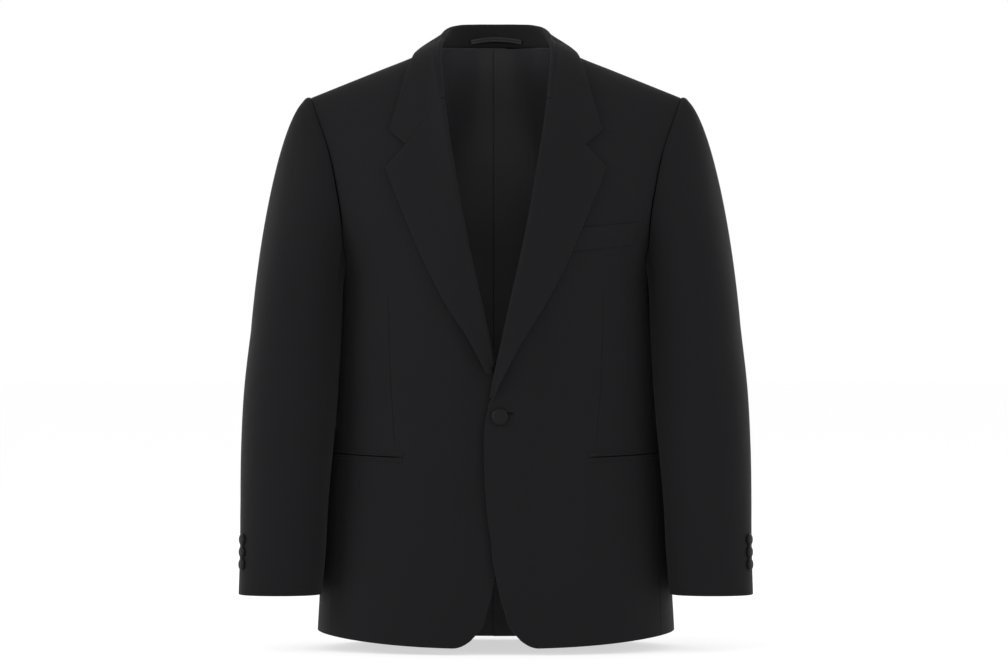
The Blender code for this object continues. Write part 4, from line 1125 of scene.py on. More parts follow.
GIRTH_RADIUS = 0.160
ARM_RADIUS = 0.055
FOLD_TAPER = 0.8

# Over these the folds fade: angle before the side, width beside the armhole, run down the sleeve.
SIDE_FADE = 0.2
ARMHOLE_FADE = 0.022
CAP_FADE = 0.03
# The sleeve's folds end at this turn towards the body, and fade over the degrees before it.
INNER_DEGREES = 135
INNER_FADE = 30

# Raised sleeve head just past the armhole seam, strongest at the shoulder tip.
ROPE_HEIGHT = 0.0013
ROPE_AT = 0.0055
ROPE_WIDTH = 0.0050
ROPE_SPREAD = 0.55


def fold_height(across, z, table, scale):
    """Height of the folds in a table at places on the cloth."""
    found = np.zeros(np.broadcast(across, z).shape)
    for a0, z0, a1, z1, bow, width, height in table:
        run = np.array([(a1 - a0) * scale, z1 - z0])
        length = float(np.hypot(*run))
        along = ((across - a0 * scale) * run[0] + (z - z0) * run[1]) / length**2
        beside = ((z - z0) * run[0] - (across - a0 * scale) * run[1]) / length
        arch = 4 * np.clip(along, 0, 1) * (1 - np.clip(along, 0, 1))
        found += height * arch**FOLD_TAPER * np.exp(-(((beside - bow * arch) / width) ** 2))
    return found


def girth_table(table):
    """The body's folds with each x as an angle round the section."""
    rows = []
    for x0, z0, x1, z1, *rest in table:
        rows.append((float(body_angle(x0, z0)), z0, float(body_angle(x1, z1)), z1, *rest))
    return rows


FRONT_TABLE, BACK_TABLE = girth_table(FRONT_FOLDS), girth_table(BACK_FOLDS)

# The body fills out a little under each sleeve, so that the sleeve lies against it.
UNDER_SLEEVE = (
    # z, height
    (-0.6680, 0.0),
    (-0.6400, 0.0046),
    (-0.6000, 0.0066),
    (-0.5400, 0.0058),
    (-0.4800, 0.0034),
    (-0.4500, 0.0),
)
UNDER_SLEEVE_X = 0.150
UNDER_SLEEVE_FADE = 0.03
UNDER_SLEEVE_Y = -0.026
UNDER_SLEEVE_WIDTH = 0.018
under_sleeve_height = smooth(UNDER_SLEEVE)


def under_sleeve(p):
    """How far the body fills out under the sleeve."""
    beside = ease((np.abs(p[..., 0]) - UNDER_SLEEVE_X) / UNDER_SLEEVE_FADE)
    ahead = (p[..., 1] - UNDER_SLEEVE_Y) / UNDER_SLEEVE_WIDTH
    return under_sleeve_height(p[..., 2]) * beside * np.exp(-(ahead**2))


def settled(p, side):
    """Points laid on the body, moved out or in with its folds. `side` is -1 where they get mirrored."""
    x, z = p[..., 0] * side, p[..., 2]
    behind = p[..., 1] > centre_y(z)
    angle = body_angle(x, z)
    across = angle * GIRTH_RADIUS
    front, back = (fold_height(across, z, table, GIRTH_RADIUS) for table in (FRONT_TABLE, BACK_TABLE))
    height = np.where(behind, back, front) * ease((math.pi / 2 - np.abs(angle)) / SIDE_FADE)
    armhole = np.where(behind, back_armhole_x(z), front_armhole_x(z))
    armhole = np.where(z > ARMHOLE_SHOULDER_Z, armhole, 1.0)
    height = height * ease((armhole - np.abs(x)) / ARMHOLE_FADE)
    return p + body_normal(p) * (height + under_sleeve(p))[..., None]


# Materials. Sizes of the weave are in metres of cloth, as the pieces' UV coordinates are.
CLOTHS = {
    # kind: name, dark, light, roughness, sheen, roughness of the sheen, gloss, thread, relief
    "wool": (
        "wool_cloth", (0.0050, 0.0050, 0.0056), (0.0090, 0.0089, 0.0101),
        0.80, 0.040, 0.46, 0.09, 0.00055, 0.00006
    ),
    "lining": (
        "lining_cloth", (0.0232, 0.0233, 0.0251), (0.0330, 0.0330, 0.0358),
        0.44, 0.040, 0.30, 0.26, 0.00030, 0.00002
    ),
    "button": (
        "button_cloth", (0.0038, 0.0038, 0.0043), (0.0070, 0.0069, 0.0078),
        0.48, 0.020, 0.38, 0.11, 0.00045, 0.00005
    ),
    "loop": (
        "loop_cloth", (0.0085, 0.0086, 0.0094), (0.0125, 0.0125, 0.0138),
        0.50, 0.040, 0.30, 0.20, 0.00030, 0.00002
    ),
    "thread": (
        "stitch_thread", (0.0046, 0.0046, 0.0052), (0.0090, 0.0089, 0.0100),
        0.60, 0.020, 0.30, 0.09, 0.00020, 0.00003
    ),
    # Near-black strips of painted shade in the pocket mouths and the buttonhole slit.
    "mouth": (
        "painted_shade_cloth", (0.0018, 0.0018, 0.0020), (0.0030, 0.0030, 0.0034),
        0.90, 0.0, 0.50, 0.05, 0.00030, 0.00002
    ),
}

# Painted shade: the lining darkens to this colour between these heights, towards the hem, where little light
# reaches the inside.
LINING_PAINTED_SHADE = (0.0008, 0.0008, 0.0009)
LOW_Z = -0.66
LOW_FADE_Z = -0.48

# Grain of the cloth, as noise scales: fibres, slubs, slow unevenness and soft waves.
FIBRE_SCALE = 1500.0
SLUB_SCALE = 260.0
BROAD_SCALE = 7.0
WAVE_SCALE = 26.0
WAVE_DEPTH = 0.0009


def set_inputs(tree, node, values):
    """Gives a node's inputs their numbers, colours or links."""
    for name, value in values.items():
        if isinstance(value, bpy.types.NodeSocket):
            tree.links.new(value, node.inputs[name])
        else:
            node.inputs[name].default_value = value


class Nodes:
    """Short way to add shader nodes and link them."""

    def __init__(self, tree):
        self.tree = tree

    def add(self, kind, inputs=(), **settings):
        """New node with its settings and inputs."""
        node = self.tree.nodes.new(kind)
        for name, value in settings.items():
            setattr(node, name, value)
        set_inputs(self.tree, node, dict(inputs))
        return node

    def math(self, operation, a, b=0.0):
        return self.add("ShaderNodeMath", {0: a, 1: b}, operation=operation).outputs[0]

    def weighted(self, *terms):
        """Sum of values, each times its weight."""
        total = None
        for value, weight in terms:
            term = self.math("MULTIPLY", value, weight)
            total = term if total is None else self.math("ADD", total, term)
        return total

    def noise(self, place, scale, detail, rough=0.5):
        settings = {"Vector": place, "Scale": scale, "Detail": detail, "Roughness": rough}
        return self.add("ShaderNodeTexNoise", settings).outputs["Fac"]

    def mix(self, share, low, high):
        """Blend of two colours, the second a colour or a socket."""
        if not isinstance(high, bpy.types.NodeSocket):
            high = (*high, 1.0)
        inputs = {"Factor": share, "A": (*low, 1.0), "B": high}
        return self.add("ShaderNodeMix", inputs, data_type="RGBA", clamp_factor=True).outputs["Result"]


def cloth_material(name, dark, light, rough, sheen, sheen_rough, gloss, thread, relief):
    """Woven cloth: a fine twill, fibres, slight unevenness over the panel and a soft sheen; the lining also
    gets painted shade towards the hem.
    """
    made = bpy.data.materials.new(name)
    made.use_nodes = True
    nodes = Nodes(made.node_tree)
    cloth = nodes.add("ShaderNodeTexCoord").outputs
    across, along = nodes.add("ShaderNodeSeparateXYZ", {0: cloth["UV"]}).outputs[:2]
    turn = 2 * math.pi / thread
    rib = nodes.weighted((across, turn), (along, turn * 0.72))
    weft = nodes.math("MULTIPLY", along, turn * 0.5)
    twill = nodes.math("MULTIPLY", nodes.math("SINE", rib), nodes.math("ADD", nodes.math("SINE", weft), 1.6))
    fibre = nodes.noise(cloth["UV"], FIBRE_SCALE, 3.0, 0.7)
    slub = nodes.noise(cloth["UV"], SLUB_SCALE, 2.0)
    broad = nodes.noise(cloth["Object"], BROAD_SCALE, 3.0, 0.55)
    shade = nodes.weighted((fibre, 0.55), (slub, 0.20), (twill, 0.16), (broad, 0.28))
    colour = nodes.mix(shade, dark, light)
    if name == "lining_cloth":
        # Painted shade: the lining's colour darkens towards the hem, from LOW_FADE_Z down to LOW_Z.
        high = nodes.add("ShaderNodeSeparateXYZ", {0: cloth["Object"]}).outputs[2]
        share = nodes.add("ShaderNodeMapRange", {"Value": high, "From Min": LOW_Z, "From Max": LOW_FADE_Z})
        colour = nodes.mix(share.outputs[0], LINING_PAINTED_SHADE, colour)
    height = nodes.weighted((twill, 0.35), (fibre, 0.6))
    fine = nodes.add("ShaderNodeBump", {"Height": height, "Strength": 0.6, "Distance": relief})
    wave = nodes.noise(cloth["Object"], WAVE_SCALE, 2.0)
    settings = {"Height": wave, "Strength": 0.5, "Distance": WAVE_DEPTH, "Normal": fine.outputs[0]}
    soft = nodes.add("ShaderNodeBump", settings)
    set_inputs(made.node_tree, made.node_tree.nodes["Principled BSDF"], {
        "Base Color": colour,
        "Roughness": nodes.math("ADD", nodes.math("MULTIPLY", fibre, 0.12), rough - 0.06),
        "Normal": soft.outputs[0],
        "Sheen Weight": sheen,
        "Sheen Roughness": sheen_rough,
        "Specular IOR Level": gloss,
    })
    return made


MATERIALS = {kind: cloth_material(*look) for kind, look in CLOTHS.items()}


def make_mesh(name, points, faces, uv, kind, nodes=()):
    """One piece of the object that rides on the body and stands for its solids."""
    mesh = bpy.data.meshes.new(name)
    faces = np.asarray(faces, np.int32)
    mesh.vertices.add(len(points))
    mesh.vertices.foreach_set("co", np.ascontiguousarray(points, np.float32).ravel())
    mesh.loops.add(faces.size)
    mesh.loops.foreach_set("vertex_index", faces.ravel())
    mesh.polygons.add(len(faces))
    mesh.polygons.foreach_set("loop_start", np.arange(len(faces), dtype=np.int32) * faces.shape[1])
    mesh.polygons.foreach_set("use_smooth", np.ones(len(faces), bool))
    mesh.update(calc_edges=True)
    layer = mesh.uv_layers.new(name="UVMap")
    layer.data.foreach_set("uv", np.ascontiguousarray(uv[faces.ravel()], np.float32).ravel())
    mesh.materials.append(MATERIALS[kind])
    piece = bpy.data.objects.new(name, mesh)
    bpy.context.collection.objects.link(piece)
    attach(piece, "root")
    if nodes:
        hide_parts(*nodes)
    return piece


def wall(name, outer, inner, uv, kind, side=1, nodes=()):
    """Closed wall between an outer and an inner grid, mirrored when side is -1."""
    rows, columns = outer.shape[:2]
    size = rows * columns
    index = np.arange(size).reshape(rows, columns)
    quads = [index[:-1, :-1], index[:-1, 1:], index[1:, 1:], index[1:, :-1]]
    front = np.stack(quads, axis=-1).reshape(-1, 4)
    border = np.concatenate([index[0, :-1], index[:-1, -1], index[-1, :0:-1], index[:0:-1, 0]])
    after = np.roll(border, -1)
    rim = np.stack([after, border, border + size, after + size], axis=-1)
    faces = np.concatenate([front, front[:, ::-1] + size, rim])
    middle = (rows // 2, columns // 2)
    p = outer[middle]
    n = np.cross(outer[middle[0], middle[1] + 1] - p, outer[middle[0] + 1, middle[1]] - p)
    if (np.dot(n, p - inner[middle]) < 0) != (side < 0):
        faces = faces[:, ::-1]
    points = np.concatenate([outer.reshape(-1, 3), inner.reshape(-1, 3)]) * np.array([side, 1, 1])
    uv = np.tile(uv.reshape(-1, 2), (2, 1))
    return make_mesh(name, points, faces, uv, kind, nodes)


# Most of a wall's thickness that its rounded edges may take, and the rounding of a narrow strip.
MOST_ROUNDED = 0.94
STRIP_DEEP = 0.46
STRIP_WIDE = 0.8


def sewn_wall(name, p, n, thick, edges, uv, side, kind="wool", nodes=()):
    """Cloth of one panel: its outside and inside both round off at its edges."""
    dip = dips(p, *edges)[..., None]
    free = [edge if edge is FREE_EDGE or edge is LEAF_EDGE else NO_EDGE for edge in edges]
    rise = dips(p, *free)[..., None]
    thin = np.minimum(dip + rise, thick * MOST_ROUNDED)
    outer, inner = p - n * dip, p - n * (thick - thin + dip)
    return wall(name, outer, inner, uv, kind, side, nodes), outer


def panel(kind, pairs, edges, lift, side, name):
    """One body panel from its (angle, z) grid."""
    p = on_body(pairs)
    n = body_normal(p)
    p = spread(p + n * lap_lift(p[..., 0], lift)[..., None], n)
    uv = pair(pairs[..., 0] * GIRTH_RADIUS, run_of(p, axis=0))
    dart = np.zeros(p.shape[:2])
    if kind == "front":
        low, high = DART[0][0], DART[-1][0]
        inside = ease((p[..., 2] - low) / DART_TAPER) * ease((high - p[..., 2]) / DART_TAPER)
        across = (p[..., 0] - dart_x(p[..., 2])) / DART_WIDTH
        dart = DART_DEPTH * inside * np.exp(-(across**2))
    p = settled(p, side) - n * dart[..., None]
    node = f"{kind}_{name}"
    return sewn_wall(f"{node}_cloth", p, n, CLOTH, edges, uv, side, nodes=(node,))


def armhole_edge(pairs):
    """Seam edge of a panel's outer border, which deepens along the armhole."""
    z = pairs[:, 1]
    low, high = side_seam(False)[-1, 1], z[-1]
    arm_edge = arm_seam((high - z) / (high - low))
    above = ease((z - low) / ARM_SEAM_RISE)
    return tuple((plain + (arm - plain) * above)[:, None] for plain, arm in zip(SEAM, arm_edge))


def make_body(side, name, lift):
    """Front, side panel and back of one side. Returns the front with its grid."""
    u = np.linspace(0, 1, DENSE)
    right = outer_edge(False)
    arm_edge = armhole_edge(right)
    t = share_of(right[:, 1])
    z = FRONT_EDGE[0][0] + (NECK_TOP_Z - FRONT_EDGE[0][0]) * t
    left = pair(body_angle(front_edge_x(z), z), z)
    angle = left[0, 0] + (right[0, 0] - left[0, 0]) * u
    x = body_point(angle, hem_z(angle))[:, 0]
    corner = np.clip((CORNER_END_X - x) / (CORNER_END_X - CORNER_X), 0, 1)
    bottom = pair(angle, hem_z(angle) + CORNER_LIFT * corner**2)
    bottom[0], bottom[-1] = left[0], right[0]
    x = NECK_TOP_X + (SHOULDER_TIP_X - NECK_TOP_X) * u
    top = pair(body_angle(x, shoulder_z(x)), shoulder_z(x))
    top[0], top[-1] = left[-1], right[-1]
    pairs = fill(left, right, bottom, top, with_dart=True)
    front = panel("front", pairs, (FREE_EDGE, arm_edge, FREE_EDGE, SEAM), lift, side, name)

    left, right = picked(side_seam(False), True, True), picked(side_seam(True), True, True)
    t = np.linspace(0, 1, len(left))
    right = read_at(t, np.linspace(0, 1, len(right)), right)
    angle = left[0, 0] + (right[0, 0] - left[0, 0]) * u
    bottom = pair(angle, hem_z(angle))
    angle = left[-1, 0] + (right[-1, 0] - left[-1, 0]) * u
    top = pair(angle, armhole_z_at(angle))
    pairs = fill(left, right, bottom, top)
    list(panel("side", pairs, (SEAM, SEAM, FREE_EDGE, ARM_SEAM), 0.0, side, name))

    right = outer_edge(True)
    top = back_top(NECK_STEPS, DENSE - NECK_STEPS)
    neck, shoulder = np.linspace(0, 1 / 3, NECK_STEPS + 1), np.linspace(1 / 3, 1, DENSE - NECK_STEPS + 1)
    u = np.linspace(0, 1, DENSE + 1)
    top = read_at(u, np.concatenate([neck, shoulder[1:]]), top)
    top[-1] = right[-1]
    angle = math.pi + (right[0, 0] - math.pi) * u
    bottom = pair(angle, hem_z(angle))
    z = bottom[0, 1] + (top[0, 1] - bottom[0, 1]) * share_of(right[:, 1])
    left = pair(np.full_like(z, math.pi), z)
    pairs = fill(left, right, bottom, top)
    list(panel("back", pairs, (SEAM, armhole_edge(right), FREE_EDGE, SEAM), 0.0, side, name))
    return front


def make_sleeve(side, name, folds):
    """Topsleeve and undersleeve of one side."""
    columns = sleeve_columns()
    grid = sleeve_grid(armhole_loop(columns))
    n = ring_normals(grid)
    down = run_of(grid, axis=0)
    ring = sleeve_ring(np.clip(grid[..., 2], CUFF_Z, BICEP_Z))
    ahead, aside = (ring[..., 1] - grid[..., 1]) / ring[..., 3], (grid[..., 0] - ring[..., 0]) / ring[..., 2]
    turn = np.degrees(np.arctan2(ahead, aside))
    outward = ease((INNER_DEGREES - np.abs(turn)) / INNER_FADE)
    height = fold_height(np.radians(turn) * ARM_RADIUS, grid[..., 2], folds, math.radians(ARM_RADIUS))
    height = height * outward * ease(down / CAP_FADE)
    tip = np.minimum(columns, columns[-1] + 1 - columns) / ARM_COLUMNS
    rope = ROPE_HEIGHT * np.exp(-(((down - ROPE_AT) / ROPE_WIDTH) ** 2)) * np.exp(-((tip / ROPE_SPREAD) ** 2))
    grid = grid + n * (height + rope)[..., None]
    n = ring_normals(grid)
    first = int(np.searchsorted(columns, FOREARM_COLUMN - 1e-6))
    last = int(np.searchsorted(columns, ELBOW_COLUMN - 1e-6))
    outer = list(range(last, len(columns))) + list(range(first + 1))
    for kind, chosen in (("topsleeve", outer), ("undersleeve", list(range(first, last + 1)))):
        p, normals = spread(grid[:, chosen], n[:, chosen]), n[:, chosen]
        across = run_of(p, axis=1)
        uv = pair(across - across[:, across.shape[1] // 2, None], -run_of(p, axis=0))
        edges = (SEAM, SEAM, arm_seam(tip[chosen]), FREE_EDGE)
        node = f"{kind}_{name}"
        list(sewn_wall(f"{node}_cloth", p, normals, CLOTH, edges, uv, side, nodes=(node,)))


def make_lapel(side, name, low_z, low_end, lift):
    """Lapel with its roll."""
    p, n = lapel_grid(low_z, low_end, lift)
    p = settled(spread(p, n), side)
    uv = cloth_uv(p)
    edges = (NO_EDGE, LEAF_EDGE, LEAF_EDGE, GORGE_SEAM)
    node = f"lapel_{name}"
    made = sewn_wall(f"{node}_cloth", p, n, LAPEL_CLOTH, edges, uv, side, nodes=(node,))


def make_collar():
    """Collar, mirrored about the centre back."""
    bend = gorge_bend()
    half = np.array([collar_row(s, bend) for s in COLLAR_STEPS])
    whole = np.concatenate([half[:0:-1] * np.array([-1, 1, 1]), half])
    n = crossing(np.gradient(whole, axis=0), np.gradient(whole, axis=1))
    p = spread(whole, n)
    uv = pair(run_of(p, axis=0), run_of(p, axis=1))
    edges = (NO_EDGE, LEAF_EDGE, GORGE_SEAM, GORGE_SEAM)
    made = sewn_wall("collar_cloth", p, n, LAPEL_CLOTH, edges, uv, 1, nodes=("collar",))
    return half


def trim(name, p, n, thick, side, kind="wool", nodes=()):
    """Narrow strip with rounded edges, its outside at p."""
    uv = cloth_uv(p)
    edge = (thick * STRIP_DEEP, thick * STRIP_WIDE)
    dip = dips(p, edge, edge, edge, edge)[..., None]
    return wall(name, p - n * dip, p - n * (thick - dip), uv, kind, side, nodes)


def make_welt():
    """Welt of the breast pocket, on the wearer's left."""
    low, high = np.array(WELT_LOWER), np.array(WELT_UPPER)
    across = graded(WELT_LENGTH, step=WELT_STEP)[None, :, None] / WELT_LENGTH
    up = graded(WELT_HEIGHT, step=WELT_STEP)[:, None, None] / WELT_HEIGHT
    flat = (low[0] + (low[1] - low[0]) * across) * (1 - up) + (high[0] + (high[1] - high[0]) * across) * up
    p, n = over_front(flat[..., 0], flat[..., 1], TRIM_LIFT + TRIM_CLOTH, 0.0)
    return trim("breast_welt_cloth", settled(p, 1), n, TRIM_CLOTH, 1, nodes=("breast_welt",))


# Strip of painted shade in the mouth between the jets: half height, lift, how far it runs under them, and its
# least share at the ends.
MOUTH_HALF = 0.00065
MOUTH_LIFT = 0.0003
MOUTH_REACH = 1.6
MOUTH_LEAST = 0.04
# Wall of the near-black strips of painted shade in the pocket mouths and in the buttonhole.
SHADE_STRIP_WALL = 0.0008
# The jets stand up along the mouth, and sink at its ends.
JET_RISE = 0.0017
JET_EDGE_RISE = 0.0007
JET_TAPER = 0.013


def make_jets(side, name):
    """Upper and lower jets of one hip pocket, and a near-black strip of painted shade in the mouth between
    them.
    """
    angle, z = slit_line()
    run = graded(SLIT_LENGTH, step=0.0020)
    even = np.linspace(0, SLIT_LENGTH, len(angle))
    angle, z = np.interp(run, even, angle), np.interp(run, even, z)
    ends = ease(run / JET_TAPER) * ease((SLIT_LENGTH - run) / JET_TAPER)
    half = SLIT_HALF + (MOUTH_HALF - SLIT_HALF) * ends
    pieces = []
    for part, sign in (("upper", 1), ("lower", -1)):
        share = (graded(JET_HEIGHT, step=0.0006) / JET_HEIGHT)[:, None]
        away = sign * (half + (SLIT_HALF + JET_HEIGHT - half) * share)
        p = body_point(np.broadcast_to(angle, away.shape), z + away)
        n = body_normal(p)
        rise = (JET_RISE * (1 - ease(share)) * ends + JET_EDGE_RISE)[..., None]
        p = settled(p, side) + n * rise
        node = f"hip_jet_{part}_{name}"
        pieces.append(trim(f"{node}_cloth", p, n, TRIM_CLOTH, side, nodes=(node,)))
    # Painted shade: a near-black strip lies in the mouth between the jets.
    away = np.linspace(-MOUTH_REACH, MOUTH_REACH, 9)[:, None] * half * np.maximum(ends, MOUTH_LEAST)
    p = body_point(np.broadcast_to(angle, away.shape), z + away)
    n = body_normal(p)
    uv = cloth_uv(p)
    p = settled(p, side) + n * MOUTH_LIFT
    pieces.append(wall(f"hip_pocket_mouth_painted_shade_{name}", p, p - n * SHADE_STRIP_WALL, uv, "mouth", side))
    return pieces


# Covered buttons again, as fine rings: gathered cloth runs up from the underside.
BUTTON_SIDES = 64
BUTTON_PLEATS = 11
BUTTON_RINGS = 26
BUTTON_UNDERSIDE = (0.70, 0.0)
BUTTON_TOP = (0.0, 1.0)
GATHER_DEPTH = 0.018
GATHER_TO = 0.45
button_profile = smooth([(k, *row) for k, row in enumerate((BUTTON_UNDERSIDE, *BUTTON_PROFILE, BUTTON_TOP))])


def make_button(name, base, normal, radius, height):
    """Domed button covered in cloth that is gathered a little under its rim."""
    across = unit(np.cross(normal, (0.0, 0.0, 1.0)))
    up = np.cross(across, normal)
    turn = 2 * math.pi * np.arange(BUTTON_SIDES + 1) / BUTTON_SIDES
    profile = button_profile(np.linspace(0, len(BUTTON_PROFILE) + 1, BUTTON_RINGS))
    profile[-1] = BUTTON_TOP
    gather = GATHER_DEPTH * np.clip(1 - profile[:, 1:2] / GATHER_TO, 0, 1) * np.cos(BUTTON_PLEATS * turn)
    wide = radius * profile[:, :1] * (1 + gather)
    ring = np.cos(turn)[:, None] * across + np.sin(turn)[:, None] * up
    p = base + ring[None] * wide[..., None] + normal * (height * profile[:, 1])[:, None, None]
    p = np.concatenate([np.broadcast_to(base, p[:1].shape), p])[:, :-1]
    rows, columns = p.shape[:2]
    index = np.arange(rows * columns).reshape(rows, columns)
    after = np.roll(index, -1, axis=1)
    faces = np.stack([index[:-1], after[:-1], after[1:], index[1:]], axis=-1).reshape(-1, 4)
    flat = p.reshape(-1, 3) - base
    uv = pair(flat @ across, flat @ up)
    a, b, c = (p.reshape(-1, 3)[faces[len(faces) // 2, k]] for k in (0, 1, 2))
    if np.dot(np.cross(b - a, c - b), a - base) < 0:
        faces = faces[:, ::-1]
    return make_mesh(f"{name}_cover", p.reshape(-1, 3), faces, uv, "button", nodes=(name,))


# Buttonhole, worked in thread beside the front button.
HOLE_START = (0.0010, -0.4356)
HOLE_END = (0.0212, -0.4352)
STITCH_PITCH = 0.00042
STITCH_LENGTH = 0.0011
STITCH_RADIUS = 0.00022
HOLE_HALF = 0.00055
STITCH_SIDES = 6
STITCH_LIFT = 0.00012
BAR_STITCHES = 5
BAR_PITCH = 0.8
BAR_HALF = 1.4
SLIT_REACH = 1.3
STITCH_PROFILE = (
    # share of the length, share of the radius
    (0.0, 0.25),
    (0.12, 0.85),
    (0.5, 1.0),
    (0.88, 0.85),
    (1.0, 0.25),
)


def make_buttonhole():
    """Two close rows of stitches along the buttonhole, a bar across its far end, and a near-black strip of
    painted shade along the slit.
    """
    start, end = np.array(HOLE_START), np.array(HOLE_END)
    count = int(np.linalg.norm(end - start) / STITCH_PITCH)
    along = unit(end - start)
    square = np.array([-along[1], along[0]])
    bars = []
    for k in range(count):
        middle = start + (end - start) * (k + 0.5) / count
        for away in (square, -square):
            bars.append((middle + away * HOLE_HALF, middle + away * (HOLE_HALF + STITCH_LENGTH)))
    for k in range(BAR_STITCHES):
        middle = end + along * STITCH_PITCH * (k * BAR_PITCH - 1)
        bars.append((middle - square * STITCH_LENGTH * BAR_HALF, middle + square * STITCH_LENGTH * BAR_HALF))
    points, faces, uv = [], [], []
    shares, wide = np.array(STITCH_PROFILE).T
    turn = 2 * math.pi * np.arange(STITCH_SIDES) / STITCH_SIDES
    for a, b in bars:
        flat = a + (b - a) * shares[:, None]
        p, n = over_front(flat[:, 0], flat[:, 1], STITCH_LIFT, LAP_LIFT)
        p = settled(p, 1)
        line = unit(p[-1] - p[0])
        aside = np.cross(line, n)
        first = len(points)
        for j in range(len(shares)):
            ring = np.cos(turn)[:, None] * aside[j] + np.sin(turn)[:, None] * n[j]
            points += list(p[j] + ring * STITCH_RADIUS * wide[j])
            uv += [(t, shares[j] * STITCH_LENGTH) for t in turn * STITCH_RADIUS]
        for j in range(len(shares) - 1):
            for k in range(STITCH_SIDES):
                m = (k + 1) % STITCH_SIDES
                row, after = first + j * STITCH_SIDES, first + (j + 1) * STITCH_SIDES
                faces.append((row + k, row + m, after + m, after + k))
        for row in (first, first + (len(shares) - 1) * STITCH_SIDES):
            faces.append((row, row + 1, row + 2, row + 3))
            faces.append((row, row + 3, row + 4, row + 5))
    stitches = make_mesh("buttonhole_stitches", np.array(points), faces, np.array(uv), "thread")
    # Painted shade: a near-black strip lies along the slit between the two rows of stitches.
    across = np.linspace(-SLIT_REACH, SLIT_REACH, 7)[:, None, None] * HOLE_HALF * square
    flat = (start + (end - start) * np.linspace(0, 1, 40)[:, None])[None] + across
    p, n = over_front(flat[..., 0], flat[..., 1], STITCH_LIFT, LAP_LIFT)
    uv = cloth_uv(p)
    p = settled(p, 1)
    return [stitches, wall("buttonhole_slit_painted_shade", p, p - n * SHADE_STRIP_WALL, uv, "mouth")]


def make_buttons(side, name):
    """Row of buttons up the outside of one cuff."""
    mirror = np.array([side, 1, 1])
    for k, z in enumerate(CUFF_BUTTON_Z):
        p, n = sleeve_place(CUFF_BUTTON_TURN, z)
        base = (p + n * BUTTON_LIFT) * mirror
        make_button(f"cuff_button_{name}_{k + 1}", base, n * mirror, CUFF_BUTTON_RADIUS, CUFF_BUTTON_HEIGHT)


# The lining comes close to the back's cloth towards the neck seam.
LINING_SEAM_GAP = 0.0008
LINING_SEAM_OVER = 0.040


def make_lining(side, name):
    """Half of the back's lining, with its share of the centre pleat."""
    over = side == 1
    right = outer_edge(True)
    right[:, 0] = math.pi + (right[:, 0] - math.pi) * LINING_SIDE_SHARE
    top = back_top(NECK_STEPS, DENSE - NECK_STEPS)
    top[:, 1] -= LINING_TOP_DROP
    right[-1, 1] -= LINING_TOP_DROP
    top[-1] = right[-1]
    right[0, 1] += LINING_HEM_RISE
    u, t = np.linspace(0, 1, len(top)), share_of(right[:, 1])
    low = hem_z(math.pi) + LINING_HEM_RISE
    z = low + (top[0, 1] - low) * t
    x = PLEAT_OVER_X if over else -PLEAT_UNDER_X
    left = pair(math.pi - body_angle(np.full_like(z, x), z), z)
    top[0] = left[-1]
    angle = left[0, 0] + (right[0, 0] - left[0, 0]) * u
    bottom = pair(angle, hem_z(angle) + LINING_HEM_RISE)
    pairs = fill(left, right, bottom, top)
    p = on_body(pairs)
    n = body_normal(p)
    near = 1 - ease((p[..., 0] - PLEAT_FADE_FROM) / (PLEAT_FADE_TO - PLEAT_FADE_FROM))
    up = run_of(p, axis=0)
    gap = LINING_SEAM_GAP + (LINING_GAP - LINING_SEAM_GAP) * ease((up[-1:] - up) / LINING_SEAM_OVER)
    inward = CLOTH + gap + PLEAT_STEP * near * over
    p = settled(p, side) - n * inward[..., None]
    uv = pair(pairs[..., 0] * GIRTH_RADIUS, up)
    edge = (LINING_CLOTH * STRIP_DEEP, LINING_CLOTH)
    dip = dips(p, edge, edge, edge, edge)[..., None]
    node = f"back_lining_{name}"
    piece = wall(f"{node}_cloth", p - n * dip, p - n * (LINING_CLOTH - dip), uv, "lining", side, (node,))


def make_hanger_loop(half):
    """Narrow strip across the inside of the collar's stand."""
    middle = half[:, : len(ARC_SHARES) // 2][COLLAR_STEPS < LOOP_STATION]
    x = np.linspace(-LOOP_HALF, LOOP_HALF, 81)
    bow = 1 - (x / LOOP_HALF) ** 2
    rows = []
    for high in LOOP_Z + LOOP_HEIGHT * (graded(LOOP_HEIGHT, step=LOOP_STEP) / LOOP_HEIGHT - 0.5):
        z = high + LOOP_ARCH * bow
        y = np.empty_like(x)
        for j, (xj, zj) in enumerate(zip(np.abs(x), z)):
            column = np.array([np.interp(zj, row[:, 2], row[:, 1]) for row in middle])
            y[j] = np.interp(xj, middle[:, 1, 0], column)
        rows.append(point(x, y - LOOP_LIFT - LOOP_STAND_OFF * bow, z))
    p = np.array(rows)
    n = crossing(np.gradient(p, axis=0), np.gradient(p, axis=1))
    n = -np.sign(n[..., 1:2]) * n
    return trim("hanger_loop_cloth", p + n * TRIM_CLOTH, n, TRIM_CLOTH, 1, "loop", ("hanger_loop",))


def make_object():
    """Every piece of the jacket."""
    for side, name, folds in ((1, "left", LEFT_SLEEVE_FOLDS), (-1, "right", RIGHT_SLEEVE_FOLDS)):
        front, grid = make_body(side, name, side * LAP_LIFT)
        trims = make_jets(side, name)
        if side == 1:
            p, n = over_front(*(np.array(v) for v in FRONT_BUTTON), BUTTON_LIFT, LAP_LIFT)
            button = make_button("front_button", settled(p, 1), n, FRONT_BUTTON_RADIUS, FRONT_BUTTON_HEIGHT)
            trims += [make_welt(), *make_buttonhole(), button]
        make_sleeve(side, name, folds)
        make_buttons(side, name)
        make_lining(side, name)
    make_lapel(1, "left", LEFT_LAPEL_LOW_Z, LAPEL_EDGE[0][::-1], LAP_LIFT)
    make_lapel(-1, "right", RIGHT_LAPEL_LOW_Z, RIGHT_LAPEL_LOW_END, -LAP_LIFT)
    make_hanger_loop(make_collar())


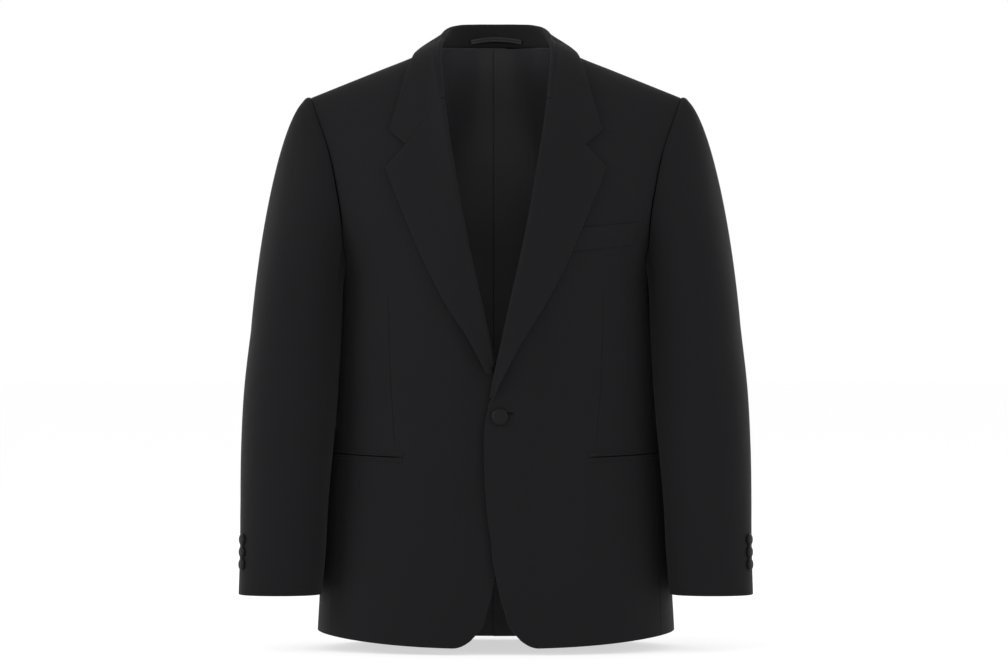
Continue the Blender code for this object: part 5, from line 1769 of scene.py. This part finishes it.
# Camera: level, 5 m away, with 1.22 mm of the jacket's middle plane to a pixel of the photograph.
CAMERA_PLACE = (0.0098, -5.0, -0.3428)
PIXEL = 0.00122
FRAME_WIDTH = 1008
# Pale floor, wide enough to fill the view, which glows like lit paper.
FLOOR_Z = -0.7225
FLOOR_HALF = 30.0
FLOOR_GLOW = 0.60
# The surroundings are white up to this height of the direction, and greyer straight above.
SKY_FADES_FROM = 0.25
SKY_TOP = 0.62
LIGHTS = (
    # name, place, aim, size, power
    ("key", (-3.1, -1.3, 1.0), (0.0, 0.0, -0.35), 1.6, 52.0),
    ("fill", (2.6, -1.9, 1.0), (0.0, 0.0, -0.30), 1.8, 30.0),
    ("back_left", (1.9, 2.5, 0.6), (0.0, 0.0, -0.30), 1.6, 14.0),
    ("back_right", (-1.8, 2.7, 0.4), (0.0, 0.0, -0.30), 1.6, 8.0),
)


def add_light(name, place, aim, size, energy):
    """Soft square light that points at a place."""
    light = bpy.data.lights.new(name, "AREA")
    light.shape, light.size, light.energy = "SQUARE", size, energy
    lamp = bpy.data.objects.new(name, light)
    away = np.array(place) - np.array(aim)
    side = unit(np.cross((0.0, 0.0, 1.0), away))
    up = np.cross(unit(away), side)
    turn = np.eye(4)
    turn[:3, 0], turn[:3, 1], turn[:3, 2], turn[:3, 3] = side, up, unit(away), place
    lamp.matrix_world = Matrix(turn.tolist())
    bpy.context.collection.objects.link(lamp)


def make_stage():
    """Pale floor, white surroundings, soft lights and the camera."""
    corners = [(x, y, FLOOR_Z) for x, y in ((-1, -1), (1, -1), (1, 1), (-1, 1))]
    mesh = bpy.data.meshes.new("floor")
    mesh.from_pydata([(x * FLOOR_HALF, y * FLOOR_HALF, z) for x, y, z in corners], [], [(0, 1, 2, 3)])
    paper = bpy.data.materials.new("floor")
    paper.use_nodes = True
    set_inputs(paper.node_tree, paper.node_tree.nodes["Principled BSDF"], {
        "Base Color": (0.50, 0.50, 0.50, 1),
        "Roughness": 0.9,
        "Specular IOR Level": 0.0,
        "Emission Color": (1, 1, 1, 1),
        "Emission Strength": FLOOR_GLOW,
    })
    mesh.materials.append(paper)
    floor = bpy.data.objects.new("floor", mesh)
    bpy.context.collection.objects.link(floor)
    world = bpy.data.worlds.new("surroundings")
    world.use_nodes = True
    nodes = Nodes(world.node_tree)
    way = nodes.add("ShaderNodeTexCoord").outputs["Generated"]
    high = nodes.add("ShaderNodeSeparateXYZ", {0: way}).outputs[2]
    fade = {"Value": high, "From Min": SKY_FADES_FROM, "To Min": 1.0, "To Max": SKY_TOP}
    strength = nodes.add("ShaderNodeMapRange", fade).outputs[0]
    settings = {"Color": (1, 1, 1, 1), "Strength": strength}
    set_inputs(world.node_tree, world.node_tree.nodes["Background"], settings)
    bpy.context.scene.world = world
    for light in LIGHTS:
        add_light(*light)
    camera = bpy.data.cameras.new("camera")
    camera.sensor_width = 36.0
    camera.lens = camera.sensor_width * -CAMERA_PLACE[1] / (FRAME_WIDTH * PIXEL)
    view = bpy.data.objects.new("camera", camera)
    view.matrix_world = Matrix.Translation(CAMERA_PLACE) @ Matrix.Rotation(math.pi / 2, 4, "X")
    bpy.context.collection.objects.link(view)
    bpy.context.scene.camera = view
    bpy.context.scene.view_settings.view_transform = "Standard"


make_stage()
make_object()
